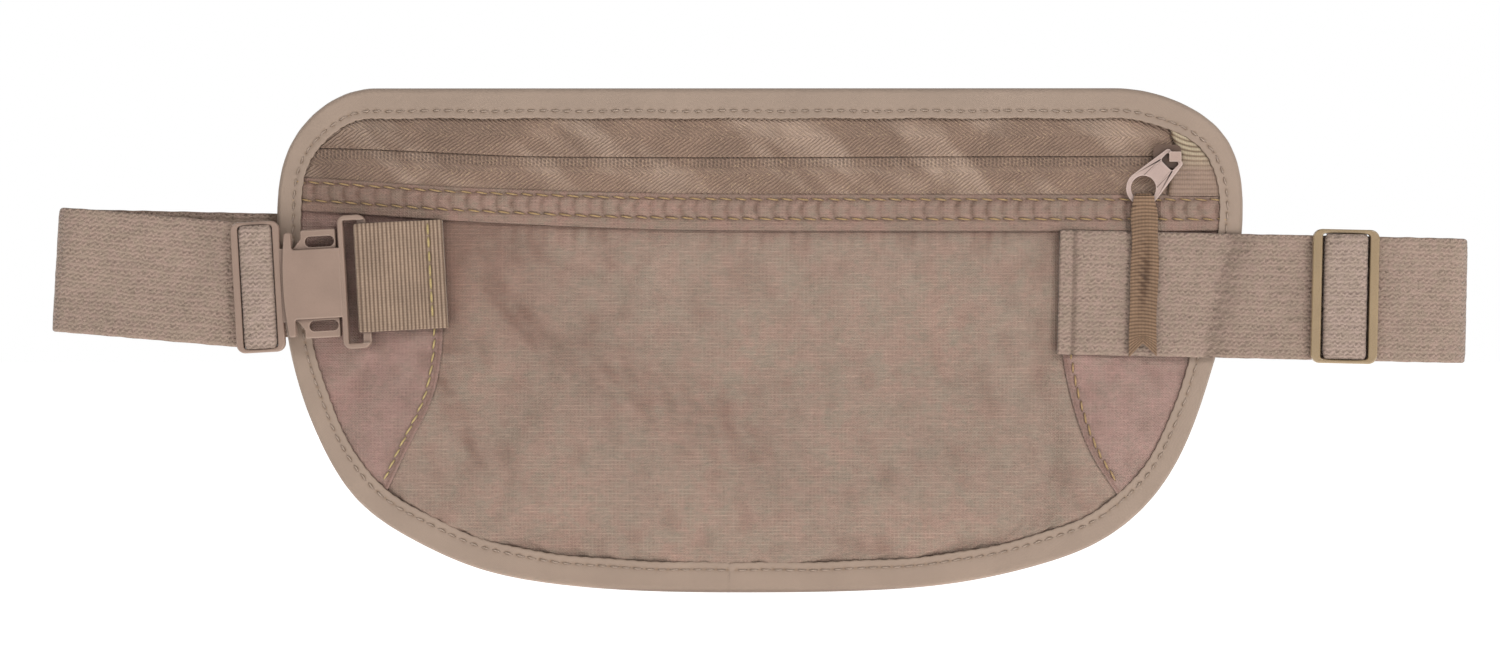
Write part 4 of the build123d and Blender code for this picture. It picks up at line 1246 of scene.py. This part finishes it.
def sleeve(name, body, centre, tilt, half_u, half_v, y_front, y_rear, replaces=()):
    """A loop of elastic round a centre bar: a flattened ring as seen along the bar, fuzzy at its two ends."""
    t = np.linspace(0, 2 * math.pi, 81)[:-1]
    r = STRAP_THICKNESS / 2
    shape = np.sign(np.cos(t)) * np.abs(np.cos(t)) ** 0.55, np.sign(np.sin(t)) * np.abs(np.sin(t)) ** 0.7
    u = (half_u - r) * shape[0]
    y = (y_front + y_rear) / 2 + ((y_rear - y_front) / 2 - r) * shape[1]
    along = np.array([math.cos(tilt), 0, -math.sin(tilt)])
    up = np.array([math.sin(tilt), 0, math.cos(tilt)])
    path = np.array(centre)[None, :] * [1, 0, 1] + along[None, :] * u[:, None]
    path[:, 1] = y
    across = np.repeat(up[None, :], len(t), axis=0)

    def relief(s, v):
        lift, painted_shade = uneven(s, v, 81)
        # Painted shade where the loop turns back and along its two edges.
        side_gap = smoothstep((np.abs(path_u(s, u)) - half_u + 1.3) / 0.8)
        end = smoothstep((np.abs(v) - half_v + 1.2) / 1.2)
        return lift - 0.3 * end, np.clip(0.5 * side_gap + 0.4 * end, 0, 1)

    return strip(
        name, path, across, 2 * half_v, STRAP_THICKNESS, body, relief=relief, steps=62, closed=True,
        replaces=replaces, material=ELASTIC_LOOP,
    )


def path_u(s, u):
    """The sleeve's sideways place for every row of a grid."""
    return np.repeat(np.asarray(u)[:, None], s.shape[1], axis=1)


ELASTIC_LOOP = elastic("elastic_loop", rgb(168, 147, 132), rgb(84, 66, 54), rgb(176, 152, 140), 0.6)
adjuster_low, adjuster_high = box("adjuster_frame")
adjuster_mid = (adjuster_low + adjuster_high) / 2
loop_low, loop_high = box("strap_end_loop")
sleeve(
    "adjuster_elastic_loop", "adjuster", adjuster_mid, STRAP_TILT, 6.5, 18.7,
    loop_low[1] + 0.1, loop_high[1] - 0.05, ("strap_end_loop",),
)


def buckle_point(u, v):
    """A point of the buckle's own frame, U along it from the socket's mouth and V up, put in X and Z."""
    pivot = np.array(JOINTS["prong_upper_squeeze"]["pos_m"]) / MM
    low_pivot = np.array(JOINTS["prong_lower_squeeze"]["pos_m"]) / MM
    middle = (pivot + low_pivot) / 2
    along = np.array([math.cos(BUCKLE_TILT), 0, math.sin(BUCKLE_TILT)])
    up = np.array([-math.sin(BUCKLE_TILT), 0, math.cos(BUCKLE_TILT)])
    return middle + along * (u - 2.7) + up * v


sleeve(
    "plug_elastic_loop", "plug", buckle_point(-7.9, 0), -BUCKLE_TILT, 5.0, 18.5,
    box("strap_buckle_run")[0][1] + 0.1, STRAP_FRONT + 0.4,
)


# ---------------------------------------------------------------- webbing tab and ribbon
def polyline(points, step):
    """Evenly spaced points along a line, its corners softened."""
    points = np.asarray(points, float)
    length = np.concatenate([[0], np.cumsum(np.linalg.norm(np.diff(points, axis=0), axis=1))])
    where = np.linspace(0, length[-1], int(length[-1] / step))
    dense = np.stack([np.interp(where, length, points[:, k]) for k in range(points.shape[1])], axis=1)
    for _ in range(12):
        dense[1:-1] = (dense[:-2] + 2 * dense[1:-1] + dense[2:]) / 4
    return dense


def webbing_tab():
    """Webbing looped round the socket's bar and sewn down on the left wing, ribbed across."""
    low, high = box("buckle_webbing_tab")
    front, rear = low[1] + 0.65, -FACING_Y - 0.05 - 0.65
    profile = [
        (TAB_RIGHT, rear), (39, rear), (33, rear - 1.1), (22.9, -7.95), (22.25, -8.6), (22.15, -9.8), (22.25, -11.2),
        (22.9, front), (30.5, front), (35.5, front + 1.3), (41, rear - 1.35), (TAB_RIGHT, rear - 1.35),
    ]
    path2 = polyline(profile, 0.2)
    middle_v = 1.0
    path = np.array([buckle_point(u, middle_v) for u, _ in path2])
    path[:, 1] = path2[:, 1]
    up = np.array([-math.sin(BUCKLE_TILT), 0, math.cos(BUCKLE_TILT)])
    across = np.repeat(up[None, :], len(path), axis=0)

    def relief(s, v):
        wave = 0.5 + 0.5 * np.cos(2 * math.pi * s / WEB_PITCH)
        # The second value is painted shade in the grooves between the ribs.
        return 0.3 * wave ** 0.6 - 0.15 + 0.05 * ripple(s, v, 91, 6), (1 - wave) ** 1.6

    strip(
        "webbing_tab_ribbed", path, across, 32.6, 1.1, "pouch", relief=relief, steps=30,
        replaces=("buckle_webbing_tab",), material=WEBBING,
    )
    line = np.array([buckle_point(TAB_RIGHT - 4.4, v) for v in np.linspace(16.6, -14.9, 90)])
    line[:, 1] = rear - 1.35 - 0.68
    stitches("webbing_stitches", line, "pouch", 4.1, 3.8, 0.36, 0.34, GOLD_THREAD)


TAB_RIGHT = 48.0
WEB_PITCH = 1.2
webbing_tab()


def ribbon():
    """The pull ribbon: bunched through the round hole, both leaves hanging, cut to a swallow's tail."""
    low, high = box("zip_pull_ribbon")
    pivot = np.array(JOINTS["pull_ribbon_swing"]["pos_m"]) / MM
    bottom, centre = low[2], pivot[0]
    across = np.linspace(-1, 1, 23)[None, :]
    for name, y_top, y_low, thickness, front_leaf in (
        ("pull_ribbon_front_leaf", pivot[1] - 1.4, low[1] + 0.3, 0.3, True),
        ("pull_ribbon_rear_leaf", pivot[1] + 0.9, low[1] + 0.68, 0.3, False),
    ):
        z = np.arange(bottom, pivot[2] + RIBBON_RISE, 0.17)[:, None]
        down = np.maximum(pivot[2] + RIBBON_RISE - z, 0)
        share = down / (pivot[2] - bottom)
        gather = smoothstep((down - RIBBON_RISE - 0.2) / 0.6)
        half = RIBBON_NECK + (RIBBON_HALF - RIBBON_NECK) * gather * (0.86 + 0.14 * smoothstep(down / 7))
        half = half + 0.15 * ripple(z, z * 0, 95, 9)
        sway = 0.35 * np.sin(share * 5.2)
        x = centre + half * across + sway
        notch = 3.6 * (1 - np.abs(across)) * smoothstep((share - 0.86) / 0.14)
        droop = 0.45 * (across ** 2) * gather - 0.25 * across * np.sin(share * 7)
        zz = z + notch - droop
        y = y_top + (y_low - y_top) * smoothstep((down - 1.6) / 3.5)
        wave = 0.5 + 0.5 * np.cos(2 * math.pi * z / RIBBON_PITCH)
        ribs = 0.15 * wave ** 0.7
        bend = 0.5 * np.exp(-((across - 0.1 * np.sin(share * 9)) / 0.3) ** 2) * np.exp(-((share - 0.5) / 0.3) ** 2)
        rumple = 0.2 * ripple(x, z, 97, 6) * gather
        curl = (-0.15 if front_leaf else 0.15) * (1 - gather) * (1 - across ** 2)
        yy = y - ribs * (1 if front_leaf else 0) + bend + rumple + curl
        # Painted shade down the ribbon's cupped middle and in its rib grooves.
        centre_shade = 0.8 * np.exp(-(across / 0.42) ** 2) * np.exp(-((share - 0.48) / 0.22) ** 2)
        centre_shade = centre_shade * (0.6 + 0.7 * ripple(x, z, 98, 3.0))
        painted_shade = np.clip((1 - wave) ** 1.5 * 0.8 + centre_shade + 0 * x, 0, 1)
        cloth_sheet(
            name, np.stack([x, yy, zz], axis=2), thickness, "pull_ribbon",
            uv=np.stack([z + 0 * x, x], axis=2), painted_shade=painted_shade, material=RIBBON,
            replaces=("zip_pull_ribbon",) if front_leaf else (),
        )
    z = np.arange(pivot[2] - 0.75, pivot[2] + FOLD_RISE, 0.17)[:, None]
    gather = smoothstep((pivot[2] + FOLD_RISE - z) / 4.0)
    half = FOLD_HALF + (0.92 * RIBBON_HALF - FOLD_HALF) * gather
    wave = 0.5 + 0.5 * np.cos(2 * math.pi * z / RIBBON_PITCH)
    y = pivot[1] - 1.6 - 0.15 * wave ** 0.7 - 0.2 * (1 - gather) * (1 - across ** 2)
    y = y + 0.2 * smoothstep((pivot[2] - 0.2 - z) / 0.5)
    x = centre + half * across
    # Painted shade in the fold's rib grooves.
    cloth_sheet(
        "pull_ribbon_fold", np.stack([x, y, z + 0 * x - 0.3 * across ** 2 * gather], axis=2), 0.3, "pull_tab",
        uv=np.stack([z + 0 * x, x], axis=2), painted_shade=(1 - wave) ** 1.5 * 0.8 + 0 * x, material=RIBBON,
    )
    turn = np.linspace(0, math.pi, 14)
    path = np.stack([
        np.full(14, centre), pivot[1] - 0.1 - 1.2 * np.cos(turn), pivot[2] + FOLD_RISE - 0.1 + 0.7 * np.sin(turn),
    ], axis=1)
    across = np.repeat([[1.0, 0, 0]], 14, axis=0)

    def relief(s, v):
        wave = 0.5 + 0.5 * np.cos(2 * math.pi * v / 0.9)
        # The second value is painted shade in the loop's grooves.
        return 0.08 * wave, 0.3 + 0.5 * (1 - wave)

    strip("pull_ribbon_loop", path, across, 5.0, 0.4, "pull_tab", relief=relief, steps=21, material=RIBBON)


RIBBON_HALF = 4.1
RIBBON_NECK = 1.2                                    # half its width where it is bunched over the tab's rim
RIBBON_RISE = 0.7                                    # how far the leaves reach up above the middle of the rim
FOLD_RISE = 2.3                                      # the same for the fold that stays on the tab
FOLD_HALF = 3.0                                      # half the fold's width at its top
RIBBON_PITCH = 1.05
ribbon()


# ---------------------------------------------------------------- moulded and cast parts kept from the frame
def finish_node(node, material, width):
    """A carried-over part: welded so that its edges can be rounded, with smooth shading."""
    obj = frame["nodes"][node]
    obj.data.materials.clear()
    obj.data.materials.append(material)
    weld = obj.modifiers.new("weld", "WELD")
    weld.merge_threshold = 0.02 * MM
    bevel = obj.modifiers.new("bevel", "BEVEL")
    bevel.width = width * MM
    bevel.segments = 3
    bevel.limit_method = "ANGLE"
    bevel.angle_limit = math.radians(40)
    bevel.harden_normals = True


finish_node("buckle_socket", BUCKLE, 0.15)
finish_node("buckle_plug", BUCKLE, 0.2)
finish_node("buckle_prong_upper", BUCKLE, 0.15)
finish_node("buckle_prong_lower", BUCKLE, 0.15)
finish_node("adjuster_frame", ADJUSTER, 0.2)
# The darker colour is painted shade on the slider's parts behind its front plate; the second colour is its painted
# edge highlight.
BODY_METAL = plastic(
    "slider_metal", rgb(176, 150, 138), rgb(204, 182, 168), 0.36, 0.3,
    behind=rgb(104, 80, 66), front=box("zip_slider")[0][1] + 0.75,
)
finish_node("zip_slider", BODY_METAL, 0.12)
finish_node("zip_pull_tab", PULL_METAL, 0.25)


# ---------------------------------------------------------------- studio
def paper():
    """Pale studio paper, faintly mottled, that glows a little so that it stays near white."""
    s = Shade("paper", 0.9)
    where, x, y, z = s.place()
    white = (0.93, 0.93, 0.93, 1.0)
    s.put(s.shader.inputs["Emission Color"], white)
    s.put(s.shader.inputs["Emission Strength"], 0.92)
    light = s.spread(s.noise(where, 0.01, 2.0), 0.3, 0.7, 0.99, 1.01)
    return s.finish(s.shaded(white, light), corner_shade=0)


def studio():
    low, high = CAD_BOUNDS
    turns = np.linspace(0, 2 * math.pi, 65)[:-1]
    verts = [(9 * math.cos(a), 9 * math.sin(a), low[2] - 0.0004) for a in turns]
    mesh = bpy.data.meshes.new("studio_floor")
    mesh.from_pydata(verts, [], [tuple(range(64))])
    mesh.materials.append(paper())
    floor = bpy.data.objects.new("studio_floor", mesh)
    bpy.context.scene.collection.objects.link(floor)

    def lamp(name, place, target, size, watts):
        data = bpy.data.lights.new(name, "AREA")
        data.shape = "DISK"
        data.size = size
        data.energy = watts
        obj = bpy.data.objects.new(name, data)
        obj.location = place
        obj.rotation_euler = (Vector(target) - Vector(place)).to_track_quat("-Z", "Y").to_euler()
        bpy.context.scene.collection.objects.link(obj)

    lamp("key", (1.0, -1.3, 1.1), (0, 0, 0), 0.6, 13.6)
    lamp("fill", (-1.3, -1.5, 0.5), (0, 0, 0), 1.6, 2.3)
    lamp("top", (0, -0.2, 1.8), (0, 0, 0), 1.6, 2.6)
    lamp("rear", (-0.9, 1.6, 1.0), (0, 0, 0), 1.2, 11)
    world = bpy.data.worlds.new("studio_world")
    world.use_nodes = True
    tree = world.node_tree
    background = tree.nodes["Background"]
    background.inputs["Color"].default_value = (1, 1, 1, 1)
    path = tree.nodes.new("ShaderNodeLightPath")
    seen = tree.nodes.new("ShaderNodeMapRange")
    seen.inputs["To Min"].default_value = 0.24
    tree.links.new(path.outputs["Is Camera Ray"], seen.inputs["Value"])
    tree.links.new(seen.outputs[0], background.inputs["Strength"])
    bpy.context.scene.world = world
    bpy.context.scene.view_settings.view_transform = "Standard"

    camera_data = bpy.data.cameras.new("camera")
    camera = bpy.data.objects.new("camera", camera_data)
    frame_width = 0.450
    distance = 1.06
    camera_data.lens = camera_data.sensor_width * distance / frame_width
    camera.location = (-0.003, low[1] - distance + 0.006, 0.0016)
    camera.rotation_euler = (math.radians(90), 0, 0)
    bpy.context.scene.collection.objects.link(camera)
    bpy.context.scene.camera = camera


studio()

bpy.context.view_layer.update()
